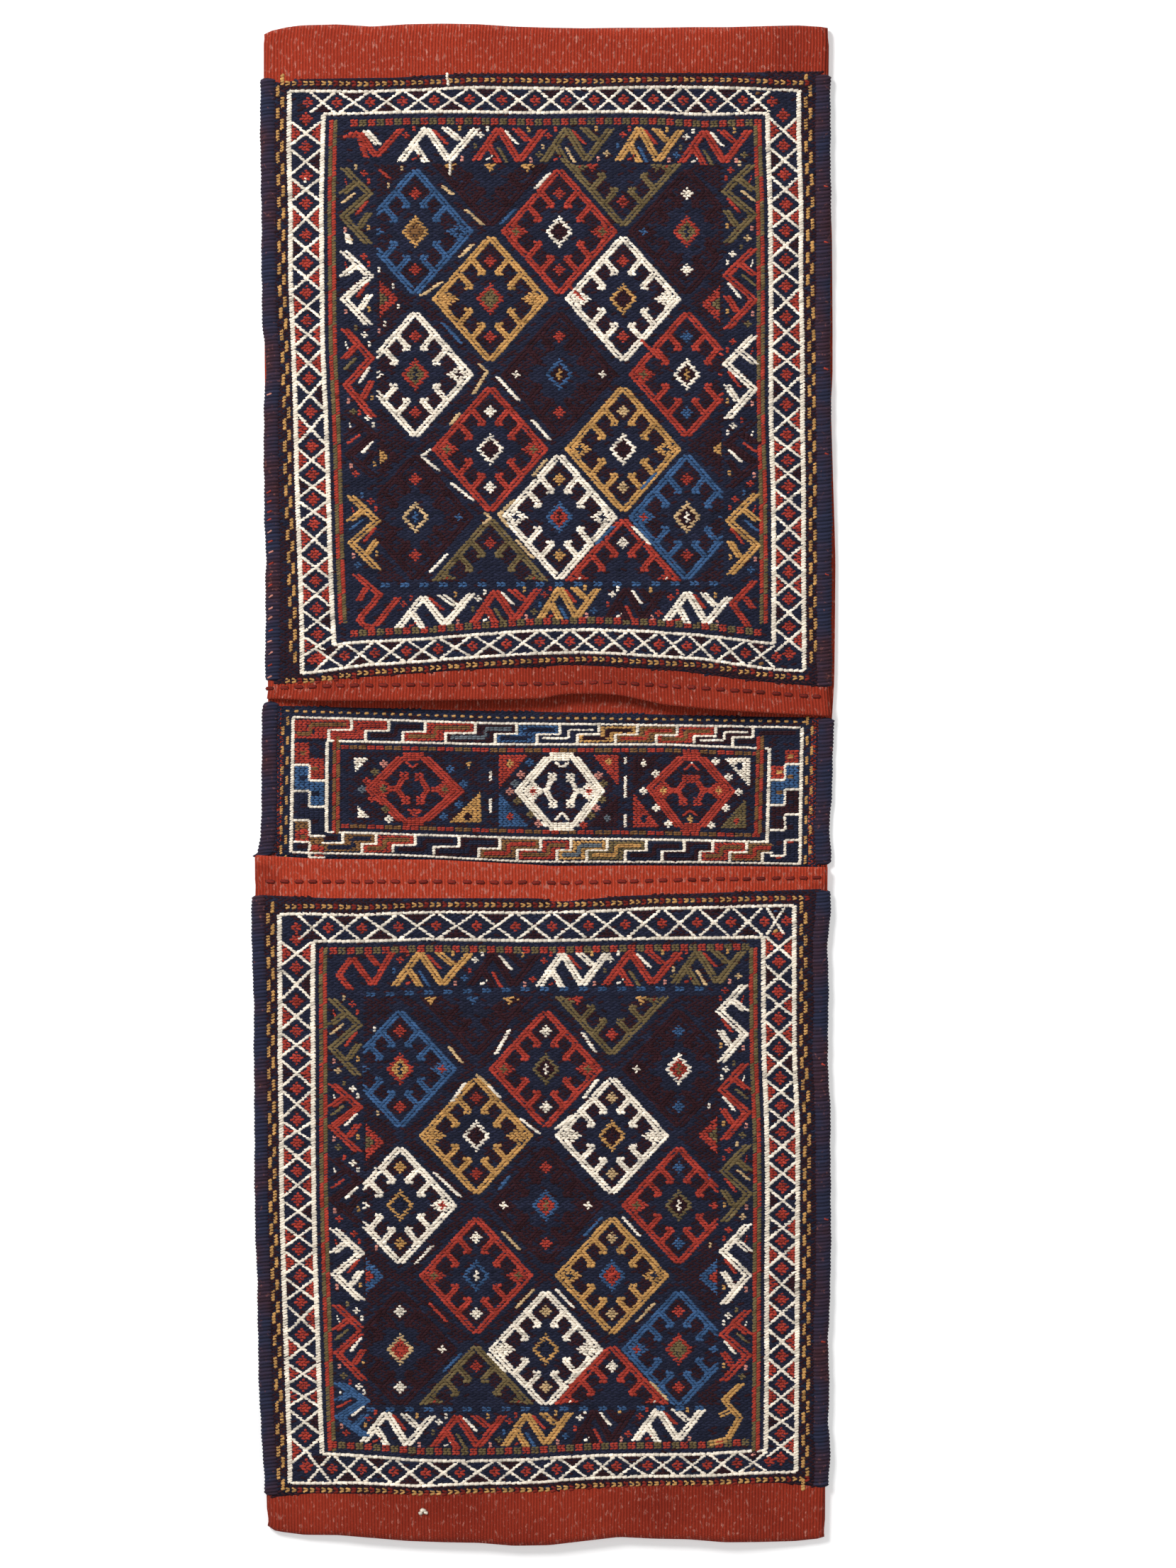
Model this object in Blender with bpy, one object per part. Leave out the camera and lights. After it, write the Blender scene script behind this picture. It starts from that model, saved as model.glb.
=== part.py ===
# Kilim saddle bag, lying on its back with both pouch faces up.
# One long woven strip is folded in at each end. The folded ends are the pouch faces, and the
# stretch between them is the bridge that goes over the saddle. Dark wool binds the long edges.
# The patterned wool that is wrapped over the cloth is a set of low relief pieces on its faces.
# Metres, +Z up, +Y towards the upper pouch. The origin is under the middle of the bag.

import math

import bpy
from mathutils import Vector
from mathutils.geometry import delaunay_2d_cdt

# Lengths along the bag
UPPER_POUCH = 0.578          # from the upper fold to the edge of the upper lip
LOWER_POUCH = 0.586          # from the lower fold to the edge of the lower lip
BRIDGE = 0.140               # visible between the two lips
UPPER_FOLD_BAND = 0.045      # plain red cloth beside the upper fold
LOWER_FOLD_BAND = 0.046      # plain red cloth beside the lower fold
UPPER_LIP_BAND = 0.029       # plain red cloth along the upper mouth
LOWER_LIP_BAND = 0.028       # plain red cloth along the lower mouth
UPPER_BOW = 0.012            # how far the middle of the upper lip is drawn back
LOWER_BOW = 0.004            # how far the middle of the lower lip is drawn back
BOW_START = 0.76             # share of the pouch, from its fold, where that begins
BRIDGE_MARGIN = 0.007        # plain cloth between a lip and the pattern of the bridge

# Cloth
CLOTH_WIDTH = 0.483          # selvedge to selvedge
CLOTH = 0.0030               # thickness of the weave
POUCH_ROOM = 0.0085          # empty height inside a pouch
SHOULDER_ROOM = 0.0068       # empty height over the outer edge of the hooked band
SEAM_ROOM = 0.0008           # between face and back under the binding
BOW_COLUMNS = 2              # columns of cloth in each half of the field
BOW_ROWS = 2                 # rows of cloth between the start of the bow and the lip
FOLD_STEPS = 6               # facets around each fold

# Side bindings
BINDING_FLANGE = 0.0105      # how far the wool reaches in over the cloth
BINDING_WOOL = 0.0011        # thickness of the wrapped wool
BINDING_CROWN = 0.0009       # how much thicker it is along the very edge
BINDING_CORNER = 0.8         # share of the wool's reach left where its round side meets the cloth's faces
BINDING_LIFT_RUN = 0.009     # run over which the back rises to make room for it

# Clearance between pieces that touch
CLEAR = 0.0003

# Wrapped wool
WOOL = 0.0009                # how far a wrapped motif stands over its ground
GROUND = 0.0005              # thickness of the ground under a motif

# Bands of a pouch face from the binding in to the field: along the sides and along the ends
SIDE_GUARD, END_GUARD = 0.0090, 0.0085
SIDE_LATTICE, END_LATTICE = 0.0300, 0.0240
SIDE_STRIPE, END_STRIPE = 0.0085, 0.0075
SIDE_HOOKS, END_HOOKS = 0.0225, 0.0295
SIDE_GAP, END_GAP = 0.0030, 0.0015

# Pattern of a pouch face
FIELD_COLUMNS = 5            # half diamonds across the field
FIELD_ROWS = 6               # half diamonds along the field
LANE = 0.0078                # dark lane between two diamonds
OUTLINE = 0.0062             # width of a diamond's outline
HOOK_PLACES = (0.37, 0.58)   # where hooks leave a side, as shares of it from the upper or lower tip
HOOK_WIDTH = 0.0058
HOOK_LENGTH = 0.0150
HEART = 0.0125               # half width of the small diamond in the middle
LATTICE_COLUMNS = 14         # diamonds along each end of the lattice
LATTICE_ROWS = 20            # diamonds along each side of the lattice
LATTICE_LINE = 0.0044        # ivory left around each diamond of the lattice
FIGURE_STROKE = 0.0056       # width of the wool line of a hooked figure
FIGURE_LEAN = 0.36           # share of a figure's length that its first and last stroke take
FIGURE_REST = 0.0150         # what one figure leaves free before the next
EDGE_TRIANGLE = 0.0165       # depth of the small triangles at the edge of the field
EDGE_TRIANGLE_HALF = 0.0160  # half their length along that edge
EDGE_ROWS = (2, 4)           # rows of diamonds that they stand beside

# Pattern of the bridge
BRIDGE_GUARD = 0.0065
BRIDGE_STEPS_SIDE, BRIDGE_STEPS_END = 0.0290, 0.0200
BRIDGE_GAP = 0.0030
STEP_LENGTH = 0.0380         # length of one stepped figure in the border
STEP_STROKE = 0.0060
MEDALLIONS = 3
MEDALLION_REST = 0.0250      # dark ground left between two medallions
MEDALLION_WAIST = 0.36       # share of a medallion's half width where its corners are cut
MEDALLION_RIM = 0.0075

# Row of stitches along each lip
HEM_STITCH = 0.0016
HEM_SHARE = 0.55             # place of the row, as a share of the lip from its edge

# Wool colours, linear RGB
COLOURS = {
    "plain_red": (0.330, 0.052, 0.030),
    "dark_ground": (0.020, 0.011, 0.026),
    "red": (0.400, 0.045, 0.026),
    "ivory": (0.800, 0.690, 0.520),
    "gold": (0.560, 0.320, 0.100),
    "olive": (0.125, 0.098, 0.050),
    "blue": (0.050, 0.150, 0.340),
    "aubergine": (0.048, 0.010, 0.020),
    "navy": (0.016, 0.018, 0.042),
}

# Colour of each diamond by (column, row), with the colour of its middle
UPPER_DIAMONDS = {
    (1, 0): ("aubergine", "gold"), (3, 0): ("olive", "red"),
    (0, 1): ("blue", "gold"), (2, 1): ("red", "ivory"), (4, 1): ("aubergine", "red"),
    (1, 2): ("gold", "red"), (3, 2): ("ivory", "gold"),
    (0, 3): ("ivory", "red"), (2, 3): ("aubergine", "blue"), (4, 3): ("red", "ivory"),
    (1, 4): ("red", "ivory"), (3, 4): ("gold", "ivory"),
    (0, 5): ("aubergine", "blue"), (2, 5): ("ivory", "blue"), (4, 5): ("blue", "gold"),
    (1, 6): ("olive", "red"), (3, 6): ("red", "ivory"),
}
LOWER_DIAMONDS = {
    (1, 0): ("aubergine", "gold"), (3, 0): ("olive", "red"),
    (0, 1): ("blue", "red"), (2, 1): ("red", "olive"), (4, 1): ("aubergine", "ivory"),
    (1, 2): ("gold", "ivory"), (3, 2): ("ivory", "gold"),
    (0, 3): ("ivory", "gold"), (2, 3): ("aubergine", "blue"), (4, 3): ("red", "olive"),
    (1, 4): ("red", "blue"), (3, 4): ("gold", "blue"),
    (0, 5): ("aubergine", "ivory"), (2, 5): ("ivory", "gold"), (4, 5): ("blue", "red"),
    (1, 6): ("olive", "red"), (3, 6): ("red", "ivory"),
}

# Colours of the hooked figures: the top row, the left side, the right side, the bottom row
UPPER_FIGURES = (
    ("red", "ivory", "red", "olive", "gold", "red"),
    ("olive", "ivory", "red", "aubergine", "gold", "red"),
    ("olive", "red", "ivory", "aubergine", "gold", "red"),
    ("ivory", "red", "gold", "aubergine", "ivory"),
)
LOWER_FIGURES = (
    ("red", "gold", "aubergine", "ivory", "red", "olive"),
    ("olive", "red", "aubergine", "ivory", "red", "blue"),
    ("ivory", "red", "olive", "ivory", "red", "gold"),
    ("ivory", "red", "gold", "aubergine", "ivory"),
)
UPPER_EDGE_COLOURS = ("red", "aubergine")
LOWER_EDGE_COLOURS = ("red", "blue")
STEP_COLOURS = ("red", "blue", "gold", "ivory", "olive")
MEDALLION_COLOURS = ("red", "ivory", "red")

# Sizes that follow from those above
LENGTH = UPPER_POUCH + BRIDGE + LOWER_POUCH
HALF_CLOTH = CLOTH_WIDTH / 2
HALF_PATTERN = HALF_CLOTH - BINDING_FLANGE
EDGE_LIFT = BINDING_WOOL + CLEAR
SIDE_BANDS = SIDE_GUARD + SIDE_LATTICE + SIDE_STRIPE + SIDE_HOOKS + 4 * SIDE_GAP
HALF_FIELD = HALF_PATTERN - SIDE_BANDS
HALF_SHOULDER = HALF_FIELD + SIDE_GAP + SIDE_HOOKS

# Cutting up flat outlines
MM = 1000.0                  # outlines are cut up in millimetres
SAME_POINT = 0.001           # mm within which two corners are one
SLIVER = 0.0001              # twice the area, in square mm, below which a triangle is dropped
SHARPEST_MITRE = 0.3         # least cosine at a line's corner, which keeps its tip short


# Materials

def wool(name, roughness=0.92):
    """Make, or find again, the material of one wool colour."""
    material = bpy.data.materials.get(name)
    if material is None:
        material = bpy.data.materials.new(name)
        material.use_nodes = True
        shader = material.node_tree.nodes["Principled BSDF"]
        shader.inputs["Base Color"].default_value = (*COLOURS[name], 1.0)
        shader.inputs["Roughness"].default_value = roughness
        shader.inputs["Metallic"].default_value = 0.0
        material.diffuse_color = (*COLOURS[name], 1.0)
    return material


def add_object(name, vertices, faces, colours, face_colours=None):
    """Put a closed mesh into the scene as one named piece."""
    mesh = bpy.data.meshes.new(name)
    mesh.from_pydata(vertices, [], faces)
    for colour in colours:
        mesh.materials.append(wool(colour))
    if face_colours is not None:
        for polygon, colour in zip(mesh.polygons, face_colours):
            polygon.material_index = colours.index(colour)
    mesh.validate()
    piece = bpy.data.objects.new(name, mesh)
    bpy.context.scene.collection.objects.link(piece)
    return piece


# Height of the cloth

def between(value, stops):
    """Read a piecewise straight profile of (place, height) stops."""
    for (left, low), (right, high) in zip(stops, stops[1:]):
        if value <= right:
            return low + (high - low) * (value - left) / (right - left)
    return stops[-1][1]


def back_underside(x):
    """Height of the underside of the back, which rises beside the bindings."""
    start = HALF_PATTERN - BINDING_LIFT_RUN
    return between(abs(x), [(0.0, 0.0), (start, 0.0), (HALF_PATTERN, EDGE_LIFT), (HALF_CLOTH, EDGE_LIFT)])


def face_underside(x):
    """Height of the underside of a pouch face over the floor."""
    seam = EDGE_LIFT + CLOTH + SEAM_ROOM
    return between(abs(x), [(0.0, CLOTH + POUCH_ROOM), (HALF_FIELD, CLOTH + POUCH_ROOM),
                            (HALF_SHOULDER, CLOTH + SHOULDER_ROOM), (HALF_PATTERN, seam),
                            (HALF_CLOTH, seam)])


class Pouch:
    """Places along one pouch. Distances run from its fold to its mouth; side is +1 for the upper."""

    def __init__(self, word, side, length, fold_band, lip_band, bow):
        self.word = word
        self.side = side
        self.length = length
        self.fold_band = fold_band
        self.lip_band = lip_band
        self.bow = bow
        self.start = fold_band
        self.end = length - lip_band

    def y(self, distance, x):
        """World place of a distance from the fold, with the mouth drawn back in its middle."""
        share = max(0.0, distance / self.length - BOW_START) / (1.0 - BOW_START)
        drawn = distance - self.bow * share * (1.0 - (x / HALF_CLOTH) ** 2)
        return self.side * (LENGTH / 2 - drawn)

    def over_face(self, x, down, height):
        """A point over the pouch face. down runs from the start to the end, always towards -Y."""
        distance = down if self.side > 0 else self.start + self.end - down
        return (x, self.y(distance, x), face_underside(x) + CLOTH + CLEAR + height)


UPPER = Pouch("upper", 1, UPPER_POUCH, UPPER_FOLD_BAND, UPPER_LIP_BAND, UPPER_BOW)
LOWER = Pouch("lower", -1, LOWER_POUCH, LOWER_FOLD_BAND, LOWER_LIP_BAND, LOWER_BOW)
BRIDGE_TOP = LENGTH / 2 - UPPER_POUCH
BRIDGE_BOTTOM = BRIDGE_TOP - BRIDGE
BRIDGE_MIDDLE = (BRIDGE_TOP + BRIDGE_BOTTOM) / 2


# The woven strip

def strip_columns():
    """Places across the cloth where its section changes."""
    field = [HALF_FIELD * step / BOW_COLUMNS for step in range(BOW_COLUMNS + 1)]
    half = field + [HALF_SHOULDER, HALF_PATTERN - BINDING_LIFT_RUN, HALF_PATTERN, HALF_CLOTH]
    return [-x for x in reversed(half[1:])] + half


def pouch_section(pouch, x):
    """Outer and inner points of the cloth at x, from the lip over the face and around the fold."""
    top = face_underside(x)
    low = back_underside(x)
    centre = (top + CLOTH + low) / 2
    outer = (top - low + CLOTH) / 2
    inner = outer - CLOTH
    bow_run = pouch.end - pouch.length * BOW_START
    flat_rows = [pouch.length] + [pouch.end - bow_run * step / BOW_ROWS for step in range(BOW_ROWS + 1)]
    flat_rows.append(pouch.start)
    points = [(pouch.y(d, x), top + CLOTH, pouch.y(d, x), top) for d in flat_rows]
    for step in range(FOLD_STEPS + 1):
        angle = math.pi / 2 - math.pi * step / FOLD_STEPS
        reach, rise = math.cos(angle), math.sin(angle)
        points.append((pouch.y(outer - outer * reach, x), centre + outer * rise,
                       pouch.y(outer - inner * reach, x), centre + inner * rise))
    return points


def strip_section(x):
    """The whole cloth at x, from the upper lip round to the lower lip."""
    low = back_underside(x)
    bridge = [(y, low, y, low + CLOTH) for y in (BRIDGE_TOP, BRIDGE_MIDDLE, BRIDGE_BOTTOM)]
    return pouch_section(UPPER, x) + bridge + pouch_section(LOWER, x)[::-1]


def make_strip():
    """Lay the sections side by side and close them into one folded sheet."""
    columns = strip_columns()
    sections = [strip_section(x) for x in columns]
    rows = len(sections[0])
    fold_start = BOW_ROWS + 2
    bridge_start = fold_start + FOLD_STEPS + 1
    vertices = []
    for x, section in zip(columns, sections):
        vertices += [(x, outer_y, outer_z) for outer_y, outer_z, _, _ in section]
        vertices += [(x, inner_y, inner_z) for _, _, inner_y, inner_z in section]

    def outer(column, row):
        return column * 2 * rows + row

    def inner(column, row):
        return outer(column, row) + rows

    faces, paint = [], []
    for column in range(len(columns) - 1):
        in_pattern = abs(columns[column] + columns[column + 1]) / 2 < HALF_PATTERN
        for row in range(rows - 1):
            from_lip = min(row, rows - 2 - row)
            on_pouch = in_pattern and 1 <= from_lip < fold_start
            on_bridge_top = in_pattern and from_lip > bridge_start - 1
            faces.append((outer(column, row), outer(column + 1, row),
                          outer(column + 1, row + 1), outer(column, row + 1)))
            faces.append((inner(column, row), inner(column, row + 1),
                          inner(column + 1, row + 1), inner(column + 1, row)))
            paint += ["dark_ground" if on_pouch else "plain_red",
                      "dark_ground" if on_bridge_top else "plain_red"]
        for row in (0, rows - 1):
            lip = (outer(column, row), inner(column, row), inner(column + 1, row), outer(column + 1, row))
            faces.append(lip if row == 0 else lip[::-1])
            paint.append("plain_red")
    last = len(columns) - 1
    for row in range(rows - 1):
        faces.append((outer(0, row), outer(0, row + 1), inner(0, row + 1), inner(0, row)))
        faces.append((outer(last, row), inner(last, row), inner(last, row + 1), outer(last, row + 1)))
        paint += ["plain_red", "plain_red"]
    return add_object("woven_strip", vertices, faces, ["plain_red", "dark_ground"], paint)


# Side bindings

def binding_profile(side, low, high):
    """Section of the wool that wraps an edge of the cloth between the heights low and high."""
    inner_x = HALF_PATTERN + CLEAR
    wall_x = HALF_CLOTH + CLEAR
    under, over = low - CLEAR, high + CLEAR
    crown = BINDING_WOOL + BINDING_CROWN
    points = [(inner_x, over), (wall_x, over), (wall_x, under), (inner_x, under),
              (inner_x, under - BINDING_WOOL), (wall_x, under - BINDING_WOOL),
              (wall_x + crown * BINDING_CORNER, under), (wall_x + crown, (low + high) / 2),
              (wall_x + crown * BINDING_CORNER, over),
              (wall_x, over + crown), ((inner_x + wall_x) / 2, over + crown), (inner_x, over + BINDING_WOOL)]
    return [(side * x, z) for x, z in points]


def make_binding(name, side, y_from, y_to, low, high):
    """Run the section along one edge."""
    section = binding_profile(side, low, high)
    count = len(section)
    vertices = [(x, y, z) for y in (max(y_from, y_to), min(y_from, y_to)) for x, z in section]
    faces = [tuple(range(count)), tuple(reversed(range(count, 2 * count)))]
    for corner in range(count):
        after = (corner + 1) % count
        faces.append((corner, corner + count, after + count, after))
    if side > 0:
        faces = [face[::-1] for face in faces]
    return add_object(name, vertices, faces, ["navy"])


def make_bindings():
    """Two bindings for each pouch and two for the bridge."""
    for side, hand in ((-1, "left"), (1, "right")):
        high = face_underside(HALF_CLOTH) + CLOTH
        for pouch in (UPPER, LOWER):
            make_binding(f"{pouch.word}_binding_{hand}", side, pouch.y(pouch.start, HALF_CLOTH),
                         pouch.y(pouch.end, HALF_CLOTH), EDGE_LIFT, high)
        make_binding(f"bridge_binding_{hand}", side, BRIDGE_TOP - BRIDGE_MARGIN,
                     BRIDGE_BOTTOM + BRIDGE_MARGIN, EDGE_LIFT, EDGE_LIFT + CLOTH)


# Flat outlines

def rectangle(half_width, start, end):
    """Corners of a rectangle around the middle line, counterclockwise."""
    return [(-half_width, start), (half_width, start), (half_width, end), (-half_width, end)]


def diamond(x, y, half_width, half_height):
    """Corners of an upright diamond, counterclockwise."""
    return [(x, y - half_height), (x + half_width, y), (x, y + half_height), (x - half_width, y)]


def inside(point, loops):
    """Whether a point lies in an area given by loops, where a loop in a loop is a hole."""
    x, y = point
    crossings = 0
    for loop in loops:
        for (ax, ay), (bx, by) in zip(loop, loop[1:] + loop[:1]):
            if (ay > y) != (by > y) and x < ax + (bx - ax) * (y - ay) / (by - ay):
                crossings += 1
    return crossings % 2 == 1


def stroke(points, width):
    """Outline of a line of even width through points, with mitred corners and square ends."""
    left, right = [], []
    for index, (x, y) in enumerate(points):
        before = points[max(index - 1, 0)]
        after = points[min(index + 1, len(points) - 1)]
        into = Vector((x - before[0], y - before[1]))
        out = Vector((after[0] - x, after[1] - y))
        into = into.normalized() if index > 0 else out.normalized()
        out = out.normalized() if index < len(points) - 1 else into
        mean = (into + out).normalized()
        reach = width / 2 / max(mean.dot(out), SHARPEST_MITRE)
        across = Vector((-mean.y, mean.x)) * reach
        left.append((x + across.x, y + across.y))
        right.append((x - across.x, y - across.y))
    return right + left[::-1]


# Relief pieces

def cut_up(loops, breaks):
    """Cut the plane into triangles along all loops and along the fold lines at breaks."""
    vertices, edges = [], []
    for loop in loops:
        first = len(vertices)
        vertices += [Vector((x * MM, y * MM)) for x, y in loop]
        edges += [(first + i, first + (i + 1) % len(loop)) for i in range(len(loop))]
    low = min(v.y for v in vertices)
    high = max(v.y for v in vertices)
    left = min(v.x for v in vertices)
    right = max(v.x for v in vertices)
    for x in breaks:
        if left < x * MM < right:
            vertices += [Vector((x * MM, low)), Vector((x * MM, high))]
            edges.append((len(vertices) - 2, len(vertices) - 1))
    points, _, triangles, _, _, _ = delaunay_2d_cdt(vertices, edges, [], 0, SAME_POINT)
    points = [(p.x / MM, p.y / MM) for p in points]
    turned = []
    for a, b, c in triangles:
        (ax, ay), (bx, by), (cx, cy) = points[a], points[b], points[c]
        area = (bx - ax) * (cy - ay) - (cx - ax) * (by - ay)
        if abs(area) * MM * MM > SLIVER:
            turned.append((a, b, c) if area > 0 else (a, c, b))
    return points, turned


def middle_of(points, triangle):
    """Middle of a triangle."""
    return tuple(sum(points[i][axis] for i in triangle) / 3 for axis in (0, 1))


def make_relief(name, plate, motifs, place, ground, ground_colour, clip=None, raised=True):
    """A thin closed plate over the cloth, with motifs standing over its ground.

    plate is the loops of the plate, motifs a list of (loops, colour), place the function that
    lays a flat point over the cloth, and clip a rectangle that trims the plate. A place whose
    second axis runs down the bag turns the faces over, so they are turned back.
    """
    breaks = [-HALF_SHOULDER, -HALF_FIELD, 0.0, HALF_FIELD, HALF_SHOULDER]
    loops = plate + [loop for shape, _ in motifs for loop in shape] + ([clip] if clip else [])
    points, triangles = cut_up(loops, breaks)
    kept = []
    for triangle in triangles:
        middle = middle_of(points, triangle)
        if inside(middle, plate) and (clip is None or inside(middle, [clip])):
            colour = next((c for shape, c in reversed(motifs) if inside(middle, shape)), None)
            kept.append((triangle, 1 if colour and raised else 0, colour or ground_colour))

    heights = (ground, ground + WOOL)
    level_at = {}
    edge_of = {}
    for triangle, level, _ in kept:
        for i in range(3):
            level_at.setdefault(triangle[i], set()).add(level)
            edge_of[(triangle[i], triangle[(i + 1) % 3])] = level
    vertices, index_of, faces, paint = [], {}, [], []

    def vertex(key, x, y, height):
        if key not in index_of:
            index_of[key] = len(vertices)
            vertices.append(place(x, y, height))
        return index_of[key]

    def top(point, level):
        return vertex((point, level), *points[point], heights[level])

    def bottom(x, y):
        return vertex((round(x * MM, 2), round(y * MM, 2), "under"), x, y, 0.0)

    for triangle, level, colour in kept:
        faces.append(tuple(top(point, level) for point in triangle))
        paint.append(colour)
    rim = []
    for (a, b), level in edge_of.items():
        other = edge_of.get((b, a))
        if other is None:
            rim.append((a, b))
            wall = [bottom(*points[a]), bottom(*points[b])]
            wall += [top(b, lower) for lower in sorted(level_at[b]) if lower <= level]
            wall += [top(a, lower) for lower in sorted(level_at[a], reverse=True) if lower <= level]
            faces.append(tuple(wall))
            paint.append(ground_colour)
        elif other < level:
            faces.append((top(a, other), top(b, other), top(b, level), top(a, level)))
            paint.append(ground_colour)
    under_points, under = cut_up([[points[a], points[b]] for a, b in rim], breaks)
    for triangle in under:
        middle = middle_of(under_points, triangle)
        if inside(middle, plate) and (clip is None or inside(middle, [clip])):
            faces.append(tuple(bottom(*under_points[i]) for i in reversed(triangle)))
            paint.append(ground_colour)
    if place(0.0, 1.0, 0.0)[1] < place(0.0, 0.0, 0.0)[1]:
        faces = [face[::-1] for face in faces]
    used = []
    for colour in paint:
        if colour not in used:
            used.append(colour)
    return add_object(name, vertices, faces, used, paint)


# Pattern of a pouch face

def band_edges(pouch):
    """Half width, start and end of each rectangle of the face, from the binding to the field."""
    side_steps = (0.0, SIDE_GUARD, SIDE_GAP, SIDE_LATTICE, SIDE_GAP, SIDE_STRIPE, SIDE_GAP, SIDE_HOOKS, SIDE_GAP)
    end_steps = (0.0, END_GUARD, END_GAP, END_LATTICE, END_GAP, END_STRIPE, END_GAP, END_HOOKS, END_GAP)
    edges, across, along = [], 0.0, 0.0
    for side_step, end_step in zip(side_steps, end_steps):
        across += side_step
        along += end_step
        edges.append((HALF_PATTERN - across, pouch.start + along, pouch.end - along))
    return edges


def make_plain_band(name, pouch, outer, inner, colour):
    """A flat frame of wool between two rectangles."""
    plate = [rectangle(*outer), rectangle(*inner)[::-1]]
    make_relief(name, plate, [], pouch.over_face, WOOL, colour)


def lattice_diamonds(outer, inner):
    """Dark diamonds in a row along each run of the lattice band."""
    half_out, start_out, end_out = outer
    half_in, start_in, end_in = inner
    side_width, end_width = half_out - half_in, start_in - start_out
    diamonds = []
    pitch = 2 * half_in / LATTICE_COLUMNS
    for column in range(LATTICE_COLUMNS):
        x = -half_in + pitch * (column + 0.5)
        for y in ((start_out + start_in) / 2, (end_out + end_in) / 2):
            diamonds.append(diamond(x, y, (pitch - LATTICE_LINE) / 2, (end_width - LATTICE_LINE) / 2))
    pitch = (end_out - start_out) / LATTICE_ROWS
    for row in range(LATTICE_ROWS):
        y = start_out + pitch * (row + 0.5)
        for x in (-(half_out + half_in) / 2, (half_out + half_in) / 2):
            diamonds.append(diamond(x, y, (side_width - LATTICE_LINE) / 2, (pitch - LATTICE_LINE) / 2))
    return diamonds


def make_lattice(pouch, outer, inner):
    """The ivory band with its chain of dark diamonds."""
    motifs = [([shape], "navy") for shape in lattice_diamonds(outer, inner)]
    make_relief(f"{pouch.word}_ivory_lattice", [rectangle(*outer), rectangle(*inner)[::-1]], motifs,
                pouch.over_face, WOOL, "ivory", raised=False)


def hooked_figure(length, width):
    """A running zigzag of three strokes in a box that starts at the origin."""
    half = FIGURE_STROKE / 2
    rise = FIGURE_LEAN * length
    points = [(half, half), (rise, width - 2 * half), (length - rise, 2 * half), (length - half, width - half)]
    return stroke(points, FIGURE_STROKE)


def band_figures(outer, inner, colours):
    """Figures in the four runs of the hooked band, which all start at their foot."""
    half_out, start_out, end_out = outer
    half_in, start_in, end_in = inner
    top, left, right, bottom = colours
    figures = []
    for row, half, foot in ((top, half_out, start_in), (bottom, half_in, end_out)):
        pitch = 2 * half / len(row)
        shape = hooked_figure(pitch - FIGURE_REST, end_out - end_in)
        for number, colour in enumerate(row):
            offset = pitch * number + FIGURE_REST / 2 - half
            figures.append(([[(offset + u, foot - v) for u, v in shape]], colour))
    for column, side in ((left, -1), (right, 1)):
        pitch = (end_out - start_in) / len(column)
        shape = hooked_figure(pitch - FIGURE_REST, half_out - half_in)
        for number, colour in enumerate(column):
            offset = start_in + pitch * number + FIGURE_REST / 2
            figures.append(([[(side * (half_out - v), offset + u) for u, v in shape]], colour))
    return figures


def edge_triangles(pouch, inner, field, colours):
    """Small triangles that stand from the hooked band into the field, by their row."""
    half, start, end = field
    row_pitch = (end - start) / FIELD_ROWS
    triangles = []
    for row, colour in zip(EDGE_ROWS, colours):
        y = start + row * row_pitch
        triangles.append(([(inner[0], y - EDGE_TRIANGLE_HALF), (half - EDGE_TRIANGLE, y),
                           (inner[0], y + EDGE_TRIANGLE_HALF)], colour))
    return triangles


def make_hooked_band(pouch, outer, inner, field, colours, edge_colours):
    """The dark band with running hooked figures and the small triangles along its inside."""
    triangles = edge_triangles(pouch, inner, field, edge_colours)
    right = [point for shape, _ in triangles for point in shape]
    left = [(-x, y) for x, y in reversed(right)]
    half_in, start_in, end_in = inner
    inside_edge = [(half_in, start_in)] + right + [(half_in, end_in), (-half_in, end_in)] + left
    inside_edge.append((-half_in, start_in))
    motifs = band_figures(outer, inner, colours)
    for shape, colour in triangles:
        motifs.append(([shape], colour))
        motifs.append(([[(-x, y) for x, y in shape]], colour))
    make_relief(f"{pouch.word}_hooked_band", [rectangle(*outer), inside_edge[::-1]], motifs,
                pouch.over_face, GROUND, "dark_ground")


def hooked_inside(x, y, half_width, half_height):
    """Inner outline of a hooked diamond: from each side two hooks lean in, along the next side."""
    length = math.hypot(half_width, half_height)
    reach_x, reach_y = HOOK_LENGTH * half_width / length, HOOK_LENGTH * half_height / length
    foot = HOOK_WIDTH / length / 2
    quarter = [(0.0, half_height)]
    for share in HOOK_PLACES:
        for place, tip in ((share - foot, False), (share - foot / 2, True), (share + foot, False)):
            px, py = half_width * place, half_height * (1.0 - place)
            quarter.append((px - reach_x, py - reach_y) if tip else (px, py))
    right = quarter + [(half_width, 0.0)] + [(px, -py) for px, py in reversed(quarter)]
    left = [(-px, py) for px, py in reversed(right[1:-1])]
    return [(x + px, y + py) for px, py in right + left]


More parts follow.
